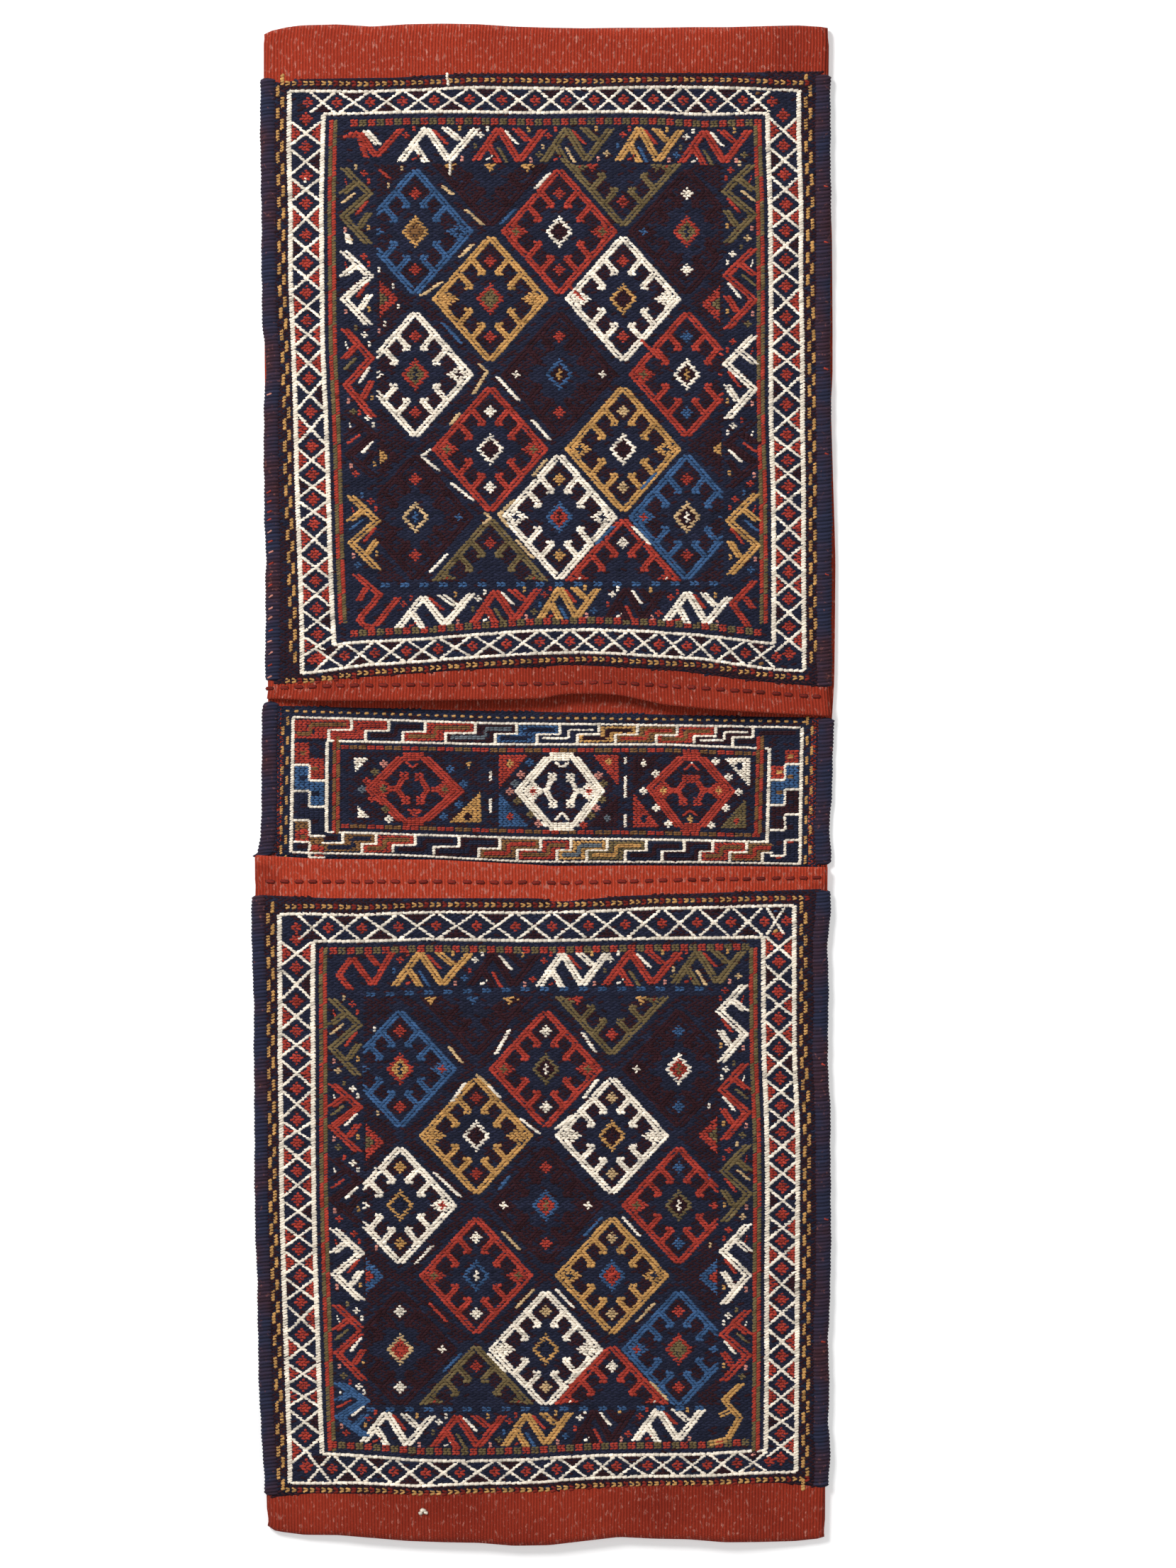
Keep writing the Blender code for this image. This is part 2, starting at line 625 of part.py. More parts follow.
def make_diamonds(pouch, field, colours):
    """The hooked diamonds of the field, each as its own piece, trimmed at the field's edge."""
    half, start, end = field
    column_pitch, row_pitch = 2 * half / FIELD_COLUMNS, (end - start) / FIELD_ROWS
    lane = LANE / math.sqrt(2)
    half_width, half_height = column_pitch - lane, row_pitch - lane
    rim = OUTLINE * math.sqrt(2)
    clip = rectangle(half, start, end)
    for (column, row), (outline, heart) in colours.items():
        x, y = -half + column_pitch * (column + 0.5), start + row_pitch * row
        outer = diamond(x, y, half_width, half_height)
        inner = hooked_inside(x, y, half_width - rim, half_height - rim)
        motifs = [([outer, inner], outline), ([diamond(x, y, HEART, HEART)], heart)]
        make_relief(f"{pouch.word}_diamond_row{row + 1}_column{column + 1}", [outer], motifs,
                    pouch.over_face, GROUND, "dark_ground", clip=clip)


def make_face(pouch, diamonds, figures, edge_colours):
    """All wrapped wool on one pouch face."""
    edges = band_edges(pouch)
    make_plain_band(f"{pouch.word}_gold_guard", pouch, edges[0], edges[1], "gold")
    make_lattice(pouch, edges[2], edges[3])
    make_plain_band(f"{pouch.word}_red_stripe", pouch, edges[4], edges[5], "red")
    make_hooked_band(pouch, edges[6], edges[7], edges[8], figures, edge_colours)
    make_diamonds(pouch, edges[8], diamonds)


# Stitches along the lips

def make_hem(pouch):
    """The row of stitches that holds the turned edge of a lip."""
    beyond = (1.0 - HEM_SHARE) * pouch.lip_band
    middle = pouch.end + beyond if pouch.side > 0 else pouch.start - beyond
    plate = [rectangle(HALF_PATTERN, middle - HEM_STITCH / 2, middle + HEM_STITCH / 2)]
    make_relief(f"{pouch.word}_lip_stitches", plate, [], pouch.over_face, WOOL, "aubergine")


# Pattern of the bridge

def on_bridge(x, y, height):
    """A point over the bridge."""
    return (x, y, back_underside(x) + CLOTH + CLEAR + height)


def step_figures(outer, inner):
    """Stepped strokes around the border of the bridge."""
    half_out, start_out, end_out = outer
    half_in, start_in, end_in = inner
    end_width, side_width = start_in - start_out, half_out - half_in
    half = STEP_STROKE / 2
    figures = []

    def stepped(length, width):
        return stroke([(half, half), (length / 2, half), (length / 2, width - half), (length - half, width - half)],
                      STEP_STROKE)

    count = round(2 * half_in / STEP_LENGTH)
    pitch = 2 * half_in / count
    shape = stepped(pitch - STEP_STROKE, end_width)
    for number in range(count):
        colour = STEP_COLOURS[number % len(STEP_COLOURS)]
        offset = pitch * number + half
        figures.append(([[(-half_in + offset + u, start_out + v) for u, v in shape]], colour))
        figures.append(([[(half_in - offset - u, end_out - v) for u, v in shape]], colour))
    count = round((end_in - start_in) / STEP_LENGTH)
    pitch = (end_in - start_in) / count
    shape = stepped(pitch - STEP_STROKE, side_width)
    for number in range(count):
        colour = STEP_COLOURS[(number + 2) % len(STEP_COLOURS)]
        offset = pitch * number + half
        figures.append(([[(half_out - v, start_in + offset + u) for u, v in shape]], colour))
        figures.append(([[(-half_out + v, end_in - offset - u) for u, v in shape]], colour))
    return figures


def make_bridge():
    """The border, the guard line and the medallions between the pouches."""
    start, end = BRIDGE_BOTTOM + BRIDGE_MARGIN, BRIDGE_TOP - BRIDGE_MARGIN
    edges, across, along = [], 0.0, 0.0
    sides = (0.0, BRIDGE_GUARD, BRIDGE_GAP, BRIDGE_STEPS_SIDE, BRIDGE_GAP)
    ends = (0.0, BRIDGE_GUARD, BRIDGE_GAP, BRIDGE_STEPS_END, BRIDGE_GAP)
    inset = BINDING_LIFT_RUN
    for side_step, end_step in zip(sides, ends):
        across += side_step
        along += end_step
        edges.append((HALF_PATTERN - inset - across, start + along, end - along))
    guard = [rectangle(*edges[0]), rectangle(*edges[1])[::-1]]
    make_relief("bridge_gold_guard", guard, [], on_bridge, WOOL, "gold")
    border = [rectangle(*edges[2]), rectangle(*edges[3])[::-1]]
    make_relief("bridge_stepped_border", border, step_figures(edges[2], edges[3]), on_bridge, GROUND,
                "dark_ground")
    half, low, high = edges[4]
    pitch = 2 * half / MEDALLIONS
    half_width, half_height = (pitch - MEDALLION_REST) / 2, (high - low) / 2
    for number, colour in enumerate(MEDALLION_COLOURS):
        x, y = -half + pitch * (number + 0.5), (low + high) / 2

        def hexagon(wide, tall, x=x, y=y):
            waist = wide * MEDALLION_WAIST
            return [(x - waist, y - tall), (x + waist, y - tall), (x + wide, y),
                    (x + waist, y + tall), (x - waist, y + tall), (x - wide, y)]

        rim = hexagon(half_width - MEDALLION_RIM, half_height - MEDALLION_RIM)
        heart = hexagon((half_width - MEDALLION_RIM) / 2, (half_height - MEDALLION_RIM) / 2)
        plate = hexagon(half_width, half_height)
        make_relief(f"bridge_medallion_{number + 1}", [plate], [([rim, heart], colour)], on_bridge,
                    GROUND, "aubergine")


# Build

for old in list(bpy.data.objects):
    bpy.data.objects.remove(old, do_unlink=True)

make_strip()
make_bindings()
make_face(UPPER, UPPER_DIAMONDS, UPPER_FIGURES, UPPER_EDGE_COLOURS)
make_face(LOWER, LOWER_DIAMONDS, LOWER_FIGURES, LOWER_EDGE_COLOURS)
make_hem(UPPER)
make_hem(LOWER)
make_bridge()
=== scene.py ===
import bpy
import numpy as np
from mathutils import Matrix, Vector


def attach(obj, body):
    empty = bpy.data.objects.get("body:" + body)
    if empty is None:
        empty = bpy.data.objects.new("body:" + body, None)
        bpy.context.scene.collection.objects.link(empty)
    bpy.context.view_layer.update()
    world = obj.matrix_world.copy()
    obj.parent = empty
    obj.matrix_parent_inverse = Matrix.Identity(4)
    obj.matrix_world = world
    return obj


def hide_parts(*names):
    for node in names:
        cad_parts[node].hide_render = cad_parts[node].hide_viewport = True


# A double saddle bag of wrapped-weft wool, laid flat. Lengths here are in millimetres on the laid bag,
# x to the right and y up, and the meshes are made in metres.

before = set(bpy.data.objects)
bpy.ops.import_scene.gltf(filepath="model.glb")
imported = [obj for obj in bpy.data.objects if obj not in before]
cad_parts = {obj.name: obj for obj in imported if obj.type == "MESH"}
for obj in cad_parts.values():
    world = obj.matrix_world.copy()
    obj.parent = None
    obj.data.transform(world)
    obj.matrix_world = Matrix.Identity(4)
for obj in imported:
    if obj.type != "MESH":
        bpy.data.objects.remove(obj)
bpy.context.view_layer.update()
chance = np.random.default_rng(41)
mm = 0.001
print("frame loaded")

wools = {  # the dyed yarns, as plain colours
    "ivory": (0.80, 0.71, 0.585), "gold": (0.46, 0.245, 0.075), "red": (0.33, 0.034, 0.020),
    "blue": (0.033, 0.085, 0.190), "olive": (0.135, 0.095, 0.040), "navy": (0.0115, 0.0140, 0.034),
    "aubergine": (0.025, 0.0052, 0.0085), "brown": (0.175, 0.082, 0.028), "pink": (0.50, 0.20, 0.155),
    "tan": (0.50, 0.34, 0.17), "slate": (0.11, 0.13, 0.15), "madder": (0.175, 0.014, 0.008)}
woolNames = list(wools)


def path(text):  # places on the bag, written as x,y pairs
    return [tuple(map(float, pair.split(","))) for pair in text.split()]


def paths(text):  # several lines of places, parted by semicolons
    return [path(part) for part in text.split(";")]


def woolPlaces(text):  # a wool and two numbers for each entry
    return [(part.split()[0], *path(part.split()[1])[0]) for part in text.split(";")]


def woolPaths(text):  # a wool and a line of places for each entry
    return [(wool, path(places)) for wool, places in (part.split(None, 1) for part in text.split(";"))]


def byHeight(text):  # a line that runs up the bag: its x at any y, joined straight between its points
    table = np.array(sorted(path(text), key=lambda place: place[1]))
    return lambda y: np.interp(y, table[:, 1], table[:, 0])


def byWidth(text):  # a line that runs across the bag: its y at any x
    table = np.array(sorted(path(text)))
    return lambda x: np.interp(x, table[:, 0], table[:, 1])


def shifted(curve, step):  # the same line moved by a fixed step
    return lambda t: curve(t) + step


def smooth(t):  # 0 below 0, 1 above 1, and an easy curve between
    t = np.clip(t, 0, 1)
    return t * t * (3 - 2 * t)


class Link:  # a shader socket; sums and products with it add Math nodes
    def __init__(self, paint, socket):
        self.paint, self.socket = paint, socket

    def math(self, kind, *values):
        return self.paint.node("Math", {"operation": kind}, dict(enumerate(values)))

    def __add__(self, other):
        return self.math("ADD", self, other)

    def __sub__(self, other):
        return self.math("SUBTRACT", self, other)

    def __rsub__(self, other):
        return self.math("SUBTRACT", other, self)

    def __mul__(self, other):
        return self.math("MULTIPLY", self, other)

    def above(self, low, high):  # 0 below low, 1 above high
        return self.paint.node("MapRange", {}, {"Value": self, "From Min": low, "From Max": high})

    __radd__, __rmul__ = __add__, __mul__


class Paint:  # one material, its shader and the nodes behind it
    def __init__(self, name, roughness, sheen):
        self.material = bpy.data.materials.new(name)
        self.material.use_nodes = True
        self.tree = self.material.node_tree
        self.shader = self.tree.nodes["Principled BSDF"]
        for key, value in (("Roughness", roughness), ("Specular IOR Level", fibre["specular"]),
                           ("Sheen Weight", sheen), ("Sheen Roughness", fibre["sheenRoughness"])):
            self.shader.inputs[key].default_value = value

    def node(self, kind, settings, sockets, out=0):
        made = self.tree.nodes.new("ShaderNode" + kind)
        for key, value in settings.items():
            setattr(made, key, value)
        for key, value in sockets.items():
            if isinstance(value, Link):
                self.tree.links.new(value.socket, made.inputs[key])
            else:
                made.inputs[key].default_value = value
        return Link(self, made.outputs[out])

    def uv(self):
        return self.node("UVMap", {"uv_map": "cloth"}, {})

    def attribute(self, name):
        return self.node("Attribute", {"attribute_name": name}, {}, "Fac")

    def objectPlace(self):
        return self.node("TexCoord", {}, {}, "Object")

    def noise(self, place, scale, detail=2.0, rough=0.5):
        return self.node("TexNoise", {}, {"Vector": place, "Scale": scale, "Detail": detail, "Roughness": rough})

    def streaks(self, across, along, detail=2.0, rough=0.5):  # noise that is stretched along the cloth
        place = self.node("VectorMath", {"operation": "MULTIPLY"}, {0: self.uv(), 1: (across, along, 1)})
        return self.noise(place, 1.0, detail, rough)

    def mix(self, factor, first, second):
        first, second = [c if isinstance(c, Link) else (*c, 1) for c in (first, second)]
        return self.node("Mix", {"data_type": "RGBA"}, {0: factor, 6: first, 7: second}, 2)

    def dimmed(self, colour, factor):
        return self.node("VectorMath", {"operation": "SCALE"}, {0: colour, "Scale": factor})

    def join(self, colour, bump, depth, strength):
        height = self.node("Bump", {}, {"Height": bump, "Distance": depth, "Strength": strength})
        self.tree.links.new(colour.socket, self.shader.inputs["Base Color"])
        self.tree.links.new(height.socket, self.shader.inputs["Normal"])
        return self.material


fibre = {"roughness": 0.9, "sheen": 0.02, "specular": 0.12, "sheenRoughness": 0.5, "along": 420.0,
         "across": 2600.0, "fuzz": 900.0, "patches": 28.0, "abrash": 0.46, "faded": 0.20, "depth": 0.00035,
         "strength": 0.55}


def woolPaint(name, colour):  # plied yarn: fine fibres along each stitch, a shade of its own for each stitch
    paint = Paint("wool_" + name, fibre["roughness"], fibre["sheen"])
    strands = paint.streaks(fibre["along"], fibre["across"])
    fuzz = paint.noise(paint.objectPlace(), fibre["fuzz"], 3.0, 0.65)
    patches = paint.noise(paint.objectPlace(), fibre["patches"])
    toneAndPaintedShade = 1.0 + paint.attribute("shade") * fibre["abrash"]
    # the fibre streaks, which also raise the bump, darken the colour between the fibres: painted shade, on top of
    # each stitch's own tone and the wider patches
    toneAndPaintedShade = toneAndPaintedShade * (0.66 + 0.68 * strands) * (0.86 + 0.28 * patches)
    grey = 0.50 * sum(colour) / 3 + 0.05
    faded = tuple((1 - fibre["faded"]) * c + fibre["faded"] * grey for c in colour)
    body = paint.mix((fuzz + strands * 0.5).above(0.62, 1.15), colour, faded)
    return paint.join(paint.dimmed(body, toneAndPaintedShade), strands + fuzz * 0.6, fibre["depth"], fibre["strength"])


redWeave = {"rib": 0.0027, "weft": 0.00125, "depth": 0.0009, "strength": 0.8, "roughness": 0.92, "sheen": 0.03,
            "deep": (0.200, 0.017, 0.008), "bright": (0.47, 0.050, 0.021), "fleck": (0.60, 0.25, 0.19),
            "stain": (0.13, 0.012, 0.008)}
fullTurn, halfTurn = 6.2832, 3.1416


def redPaint():  # weft-faced plain weave: ribs along the strip, fine weft rows across them, worn and flecked
    paint = Paint("red_cloth", redWeave["roughness"], redWeave["sheen"])
    across = paint.node("SeparateXYZ", {}, {0: paint.uv()})
    along = paint.node("SeparateXYZ", {}, {0: paint.uv()}, 1)
    ribPlace = across * (1 / redWeave["rib"]) + paint.streaks(60.0, 14.0) * 0.9
    rib = 0.5 + 0.5 * (ribPlace * fullTurn).math("COSINE", ribPlace * fullTurn)
    parity = (ribPlace + 0.5).math("FLOOR", ribPlace + 0.5) * halfTurn
    weft = along * (fullTurn / redWeave["weft"]) + parity
    weft = 0.5 + 0.5 * weft.math("COSINE", weft)
    tone = paint.attribute("shade")
    clouds = paint.streaks(9.0, 9.0, 4.0, 0.6)
    specks = paint.streaks(330.0, 150.0, 3.0, 0.7)
    grain = paint.streaks(1500.0, 500.0)
    body = paint.mix((tone * 0.5 + clouds).above(0.1, 0.95), redWeave["deep"], redWeave["bright"])
    worn = paint.mix((specks + tone * 0.03).above(0.56, 0.70) * 0.75, body, redWeave["fleck"])
    dark = paint.mix((1.0 - specks).above(0.60, 0.75) * 0.5, worn, redWeave["stain"])
    # the colour is darkened between the ribs and the weft rows, which also make the bump: painted shade; the fine
    # grain is partly the yarn's own tone and partly painted shade
    toneAndPaintedShade = (0.60 + 0.34 * rib + 0.16 * weft) * (0.80 + 0.40 * grain)
    return paint.join(paint.dimmed(dark, toneAndPaintedShade), rib + weft * 0.35 + grain * 0.35, redWeave["depth"],
                      redWeave["strength"])


def bindingPaint():  # dark overcast wool, worn rusty where it rubs
    paint = Paint("binding_wool", 0.9, 0.03)
    strands = paint.streaks(900.0, 2200.0, 3.0)
    clouds = paint.noise(paint.objectPlace(), 26.0, 3.0)
    specks = paint.noise(paint.objectPlace(), 260.0, 3.0, 0.7)
    body = paint.mix(clouds.above(0.40, 0.68), (0.0125, 0.0140, 0.030), (0.028, 0.011, 0.015))
    worn = paint.mix((specks + clouds * 0.25).above(0.74, 0.90) * 0.75, body, (0.16, 0.055, 0.045))
    # the colour rises along the strands and with the shade attribute, which is lighter on each wrap's ridge:
    # painted highlight and shade on the wraps
    toneAndPaintedShade = (0.75 + 0.80 * strands) * (1.1 + paint.attribute("shade") * 0.95)
    return paint.join(paint.dimmed(worn, toneAndPaintedShade), strands, 0.0005, 0.6)


def floorPaint():  # a white table, which the camera sees bright and which keeps the shadow
    paint = Paint("floor_white", 0.9, 0.0)
    seen = paint.node("LightPath", {}, {}, "Is Camera Ray")
    mirrored = paint.node("LightPath", {}, {}, "Is Glossy Ray")
    glow = paint.dimmed((1.0, 1.0, 1.0), seen.math("MAXIMUM", seen, mirrored) * 0.30)
    paint.shader.inputs["Base Color"].default_value = (0.80, 0.80, 0.80, 1)
    paint.tree.links.new(glow.socket, paint.shader.inputs["Emission Color"])
    paint.shader.inputs["Emission Strength"].default_value = 1.0
    return paint.material


woolPaints = [woolPaint(name, colour) for name, colour in wools.items()]
redCloth, bindingWool = redPaint(), bindingPaint()
print("materials made")


def signedVolume(points, faces):
    # the sum of the corner products of each face's fan, positive when the faces look outwards
    total = 0.0
    for group in faces:
        a = points[group[:, 0]]
        for k in range(1, group.shape[1] - 1):
            total += np.einsum("ij,ij->", a, np.cross(points[group[:, k]], points[group[:, k + 1]]))
    return total


class Shape:  # gathers points in millimetres, their places on the cloth, their shades, and faces with materials
    def __init__(self):
        self.points, self.places, self.shades, self.faces, self.paints, self.count = [], [], [], [], [], 0

    def add(self, points, places, shades, faces, paints):
        if signedVolume(points, faces) < 0:
            faces = [group[:, ::-1] for group in faces]
        self.points.append(points)
        self.places.append(places)
        self.shades.append(np.broadcast_to(shades, len(points)))
        self.faces += [group + self.count for group in faces]
        self.paints += [np.broadcast_to(paint, len(group)) for group, paint in zip(faces, paints)]
        self.count += len(points)

    def finish(self, name, materials, slot, replaced=()):
        points = np.concatenate(self.points) * mm
        places = np.concatenate(self.places) * mm
        sizes = np.concatenate([np.full(len(group), group.shape[1]) for group in self.faces])
        corners = np.concatenate([group.ravel() for group in self.faces])
        mesh = bpy.data.meshes.new(name)
        mesh.vertices.add(len(points))
        mesh.vertices.foreach_set("co", points.ravel())
        mesh.loops.add(len(corners))
        mesh.loops.foreach_set("vertex_index", corners)
        mesh.polygons.add(len(sizes))
        mesh.polygons.foreach_set("loop_start", np.concatenate([[0], np.cumsum(sizes)[:-1]]))
        mesh.polygons.foreach_set("use_smooth", np.ones(len(sizes), bool))
        for material in materials:
            mesh.materials.append(material)
        mesh.polygons.foreach_set("material_index", np.concatenate(self.paints).astype(np.int32))
        mesh.uv_layers.new(name="cloth").data.foreach_set("uv", places[corners].ravel())
        mesh.attributes.new("shade", "FLOAT", "POINT").data.foreach_set("value", np.concatenate(self.shades))
        mesh.update(calc_edges=True)
        mesh.validate()
        piece = bpy.data.objects.new(name, mesh)
        bpy.context.scene.collection.objects.link(piece)
        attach(piece, "root")
        if replaced:
            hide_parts(*replaced)
        return piece


def gridFaces(rows, columns, wrap=False):  # a grid's quads; wrap joins the last column to the first
    number = np.arange(rows * columns).reshape(rows, columns)
    if wrap:
        number = np.concatenate([number, number[:, :1]], axis=1)
    corners = [number[:-1, :-1], number[:-1, 1:], number[1:, 1:], number[1:, :-1]]
    return np.stack(corners, axis=-1).reshape(-1, 4)


def closedSheet(top, under):  # two grids of one size, joined along their four edges into a closed shell
    rows, columns = top.shape[:2]
    number = np.arange(rows * columns).reshape(rows, columns)
    ring = np.concatenate([number[0, :-1], number[:-1, -1], number[-1, :0:-1], number[:0:-1, 0]])
    after, total = np.roll(ring, -1), rows * columns
    rim = np.stack([after, ring, ring + total, after + total], axis=-1)
    upper = gridFaces(rows, columns)
    points = np.concatenate([top.reshape(-1, 3), under.reshape(-1, 3)])
    return points, [np.concatenate([upper, upper[:, ::-1] + total, rim])]


outline = {  # the long edges of the layers seen from above, the folds at both ends and the lips
    "left": byHeight(
        "-239,651 -241,634.5 -241,592 -241,543.5 -240,495 -240,446.5 -239.5,398 -237,374 -236,349.5 "
        "-238,325.5 -238,277 -237.5,228.5 -236,192 -236.5,180 -236.5,131.5 -237,83 -239.5,63 -240,34.5 "
        "-240,-14 -241,-44 -243.5,-59 -248.5,-61 -248.5,-80.5 -248,-86.5 -248.5,-111 -248.5,-135 "
        "-246.5,-183.5 -246.5,-232 -246,-280.5 -246,-329 -245.5,-377.5 -243.5,-426 -243,-474.5 -242,-523 "
        "-240.5,-547.5 -239,-571.5 -237.5,-596 -237,-638"),
    "right": byHeight(
        "245.5,651 246,634.5 245,592 245,543.5 245.5,495 245.5,446.5 245,398 245,374 245.5,325.5 246,277 "
        "246.5,228.5 246,180 246,131.5 246.5,83 248.5,62 247.5,34.5 246,-14 244,-38 245.5,-56.5 "
        "245.5,-80.5 245,-111 242.5,-135 243.5,-183.5 242.5,-232 245,-280.5 245,-329 245.5,-377.5 "
        "245,-426 243,-474.5 244,-523 243,-547.5 245,-571.5 243.5,-596 242.5,-638"),
    "backLeft": byHeight("-239.5,651 -239.5,368 -236.5,65 -239.5,4 -241,-117 -245,-359.5 -237,-638"),
    "backRight": byHeight(
        "246,651 245,543.5 248.5,471 249,398 249,349.5 247.5,325.5 249,277 250.5,228.5 251.5,192 "
        "251,131.5 250.5,89 247.5,40.5 245,-14 243.5,-177.5 244,-359.5 242.5,-638"),
    "top": byWidth(
        "-242.5,640.5 -239,645 -222,649 -209.5,650.5 -179.5,651 -149,649 -119,651 -88.5,651.5 -58,651 "
        "-28,649 2.5,648 32.5,647.5 63,648 93.5,648 123.5,648.5 154,648.5 184,649.5 214.5,650.5 239,649 "
        "246.5,645.5"),
    "bottom": byWidth(
        "-239,-635 -234,-639.5 -209.5,-642.5 -179.5,-642.5 -149,-645 -119,-647.5 -88.5,-648.5 -58,-649 "
        "-28,-651.5 2.5,-651 32.5,-647.5 63,-644 93.5,-645.5 123.5,-646 154,-648.5 184,-648.5 214.5,-648 "
        "239,-645.5 245,-640.5"),
    "upperLip": byWidth(
        "-239,73.5 -197.5,71.5 -161,71.5 -125,71.5 -76.5,72 -40,72.5 -3.5,73.5 8.5,76.5 20.5,77.5 "
        "45,77.5 63,76 81,72 99.5,68 142,64 190.5,61 248.5,58"),
    "lowerLip": byWidth(
        "-250.5,-59.5 -185.5,-63.5 -88.5,-64 -3.5,-68.5 8.5,-69.5 81,-69 142,-69.5 245,-70.5")}

cloth = {"half": 1.5, "faceTop": 14.5, "edgeTop": 8.2, "slopeFrom": 231.0, "slopeTo": 149.0, "edgeLift": 1.4,
         "halfWidth": 241.5, "columns": 81, "faceStep": 5.5, "backStep": 11.0, "foldRows": 11, "sideInset": 2.0,
         "backInset": 1.0, "lipLift": 0.9, "lipWidth": 14, "foldFloor": 0.15, "hemSwell": 0.22, "hemWidth": 13,
         "lipRound": 1.6, "tone": 0.15, "flatWidth": 0.483}
closeRows = np.array([0.0, 0.5, 1.4, 3.0, 6.0, 10.0])  # how far from the lip its first rows stand
redToneAreas = [  # how much lighter, then y from and to, the least z and the least x
    (0.10, 600, 999, -9, -999), (-0.30, -999, -590, 4, -999), (-0.15, 50, 100, 7, -999),
    (0.75, -110, -50, 7, -999), (-0.35, 580, 999, -9, 200)]


def acrossPlace(x, y):  # how far a point lies from the bag's middle line, on a bag of even width
    left, right = outline["left"](y), outline["right"](y)
    return (2 * (x - left) / (right - left) - 1) * cloth["halfWidth"]


def ripple(x, y):  # the soft unevenness of old cloth that lies on a table
    return (0.35 * np.sin(x / 31 + y / 57 + 1.0) + 0.28 * np.sin(x / 17 - y / 43) * np.sin(y / 71 + 2.0)
            + 0.20 * np.sin(y / 19 + np.sin(x / 40)))


def faceHeight(x, y):  # the top of the pouch face: flat in the middle, easing down to the bound edges
    reach = np.abs(acrossPlace(x, y))
    rise = smooth((cloth["slopeFrom"] - reach) / (cloth["slopeFrom"] - cloth["slopeTo"]))
    return cloth["edgeTop"] + (cloth["faceTop"] - cloth["edgeTop"]) * rise + ripple(x, y) * (0.3 + 0.7 * rise)


def backHeight(x, y):  # the top of the back layer, which lies on the table and lifts a little at its edges
    lift = cloth["edgeLift"] * smooth((np.abs(acrossPlace(x, y)) - 222) / 9)
    return 2 * cloth["half"] + lift + 0.25 * (1 + np.sin(x / 23 + y / 31)) * 0.5


def pouchLane(u, side, lip, fold):
    # one pouch face's middle surface, rows from its lip to its fold, and then the half turn round the fold
    half, closeBy = cloth["half"], closeRows[:, None]
    count = int(abs(fold.mean() - lip.mean()) / cloth["faceStep"])
    nominal = (2 * u - 1) * (cloth["halfWidth"] - 1)
    radius = (faceHeight(nominal, fold - side * 12) - half - half - 0.2) / 2
    start, first = fold - side * (radius + half), lip + side * closeRows[-1]
    steps = np.linspace(0, 1, count)[1:, None]
    y = np.concatenate([lip + side * closeBy, first + steps * (start - first)])
    x = lanePlace(u, y, "left", "right", cloth["sideInset"])
    z = faceHeight(x, y) - half
    z = z + cloth["lipLift"] * smooth(1 - np.abs(y - lip) / cloth["lipWidth"])  # the lip is turned under
    turn = np.linspace(0, np.pi, cloth["foldRows"])[1:, None]
    foldY = start + side * radius * np.sin(turn)
    foldX = lanePlace(u, foldY, "left", "right", cloth["sideInset"])
    foldZ = z[-1] - (z[-1] - half - cloth["foldFloor"]) / 2 * (1 - np.cos(turn))
    return [np.concatenate(pair) for pair in ((x, foldX), (y, foldY), (z, foldZ))]


def clothCentre():  # the strip's middle surface, from lip to lip round both folds
    u = np.linspace(0, 1, cloth["columns"])
    nominal = (2 * u - 1) * (cloth["halfWidth"] - 1)
    upper = pouchLane(u, 1, outline["upperLip"](nominal), outline["top"](nominal))
    lower = pouchLane(u, -1, outline["lowerLip"](nominal), outline["bottom"](nominal))
    upperEnd, lowerEnd = upper[1][-1], lower[1][-1]
    steps = np.linspace(0, 1, int(np.mean(upperEnd - lowerEnd) / cloth["backStep"]))[1:-1, None]
    y = upperEnd + steps * (lowerEnd - upperEnd)
    x = lanePlace(u, y, "backLeft", "backRight", cloth["backInset"])
    ease = smooth(np.minimum(steps, 1 - steps) / 0.02)
    foldZ = upper[2][-1] * (steps < 0.5) + lower[2][-1] * (steps >= 0.5)
    z = ease * (backHeight(x, y) - cloth["half"]) + (1 - ease) * foldZ
    return np.stack([np.concatenate([a, b, c[::-1]]) for a, b, c in zip(upper, (x, y, z), lower)], axis=-1)


def lanePlace(u, y, left, right, inset):  # a share u of the way from one long edge to the other, at height y
    start, end = outline[left](y) + inset, outline[right](y) - inset
    return start + u * (end - start)


def makeCloth():  # the red woven strip: its middle surface thickened by half the cloth's thickness to each side
    centre = clothCentre()
    normal = np.cross(np.gradient(centre, axis=1), np.gradient(centre, axis=0))
    normal /= np.linalg.norm(normal, axis=-1, keepdims=True)
    steps = np.linalg.norm(np.diff(centre, axis=0), axis=-1).mean(axis=1)
    run = np.concatenate([[0], np.cumsum(steps)])
    fromEnd = np.minimum(run, run[-1] - run)
    hem = 1 + cloth["hemSwell"] * smooth(1 - fromEnd / cloth["hemWidth"])
    rounded = np.sqrt(np.clip(1 - (1 - fromEnd / cloth["lipRound"]).clip(0) ** 2, 0.06, 1))
    half = (cloth["half"] * hem * rounded)[:, None, None]
    points, faces = closedSheet(centre + normal * half, centre - normal * half)
    u = np.linspace(-cloth["halfWidth"], cloth["halfWidth"], cloth["columns"])
    places = np.stack([*np.broadcast_arrays(u, run[:, None])], axis=-1).reshape(-1, 2)
    x, y, z = np.moveaxis(centre, -1, 0)
    tone = cloth["tone"]
    # the red is made lighter or darker over parts of the strip by place: the top fold, the bottom fold, both lips
    # and the top right end
    for step, low, high, above, beside in redToneAreas:
        tone = tone + step * ((y > low) & (y < high) & (z > above) & (x > beside))
    shape = Shape()
    shape.add(points, np.concatenate([places] * 2), np.concatenate([tone.ravel()] * 2), faces, [0])
    piece = shape.finish("red_woven_strip", [redCloth], "red_cloth", ["woven_strip"])


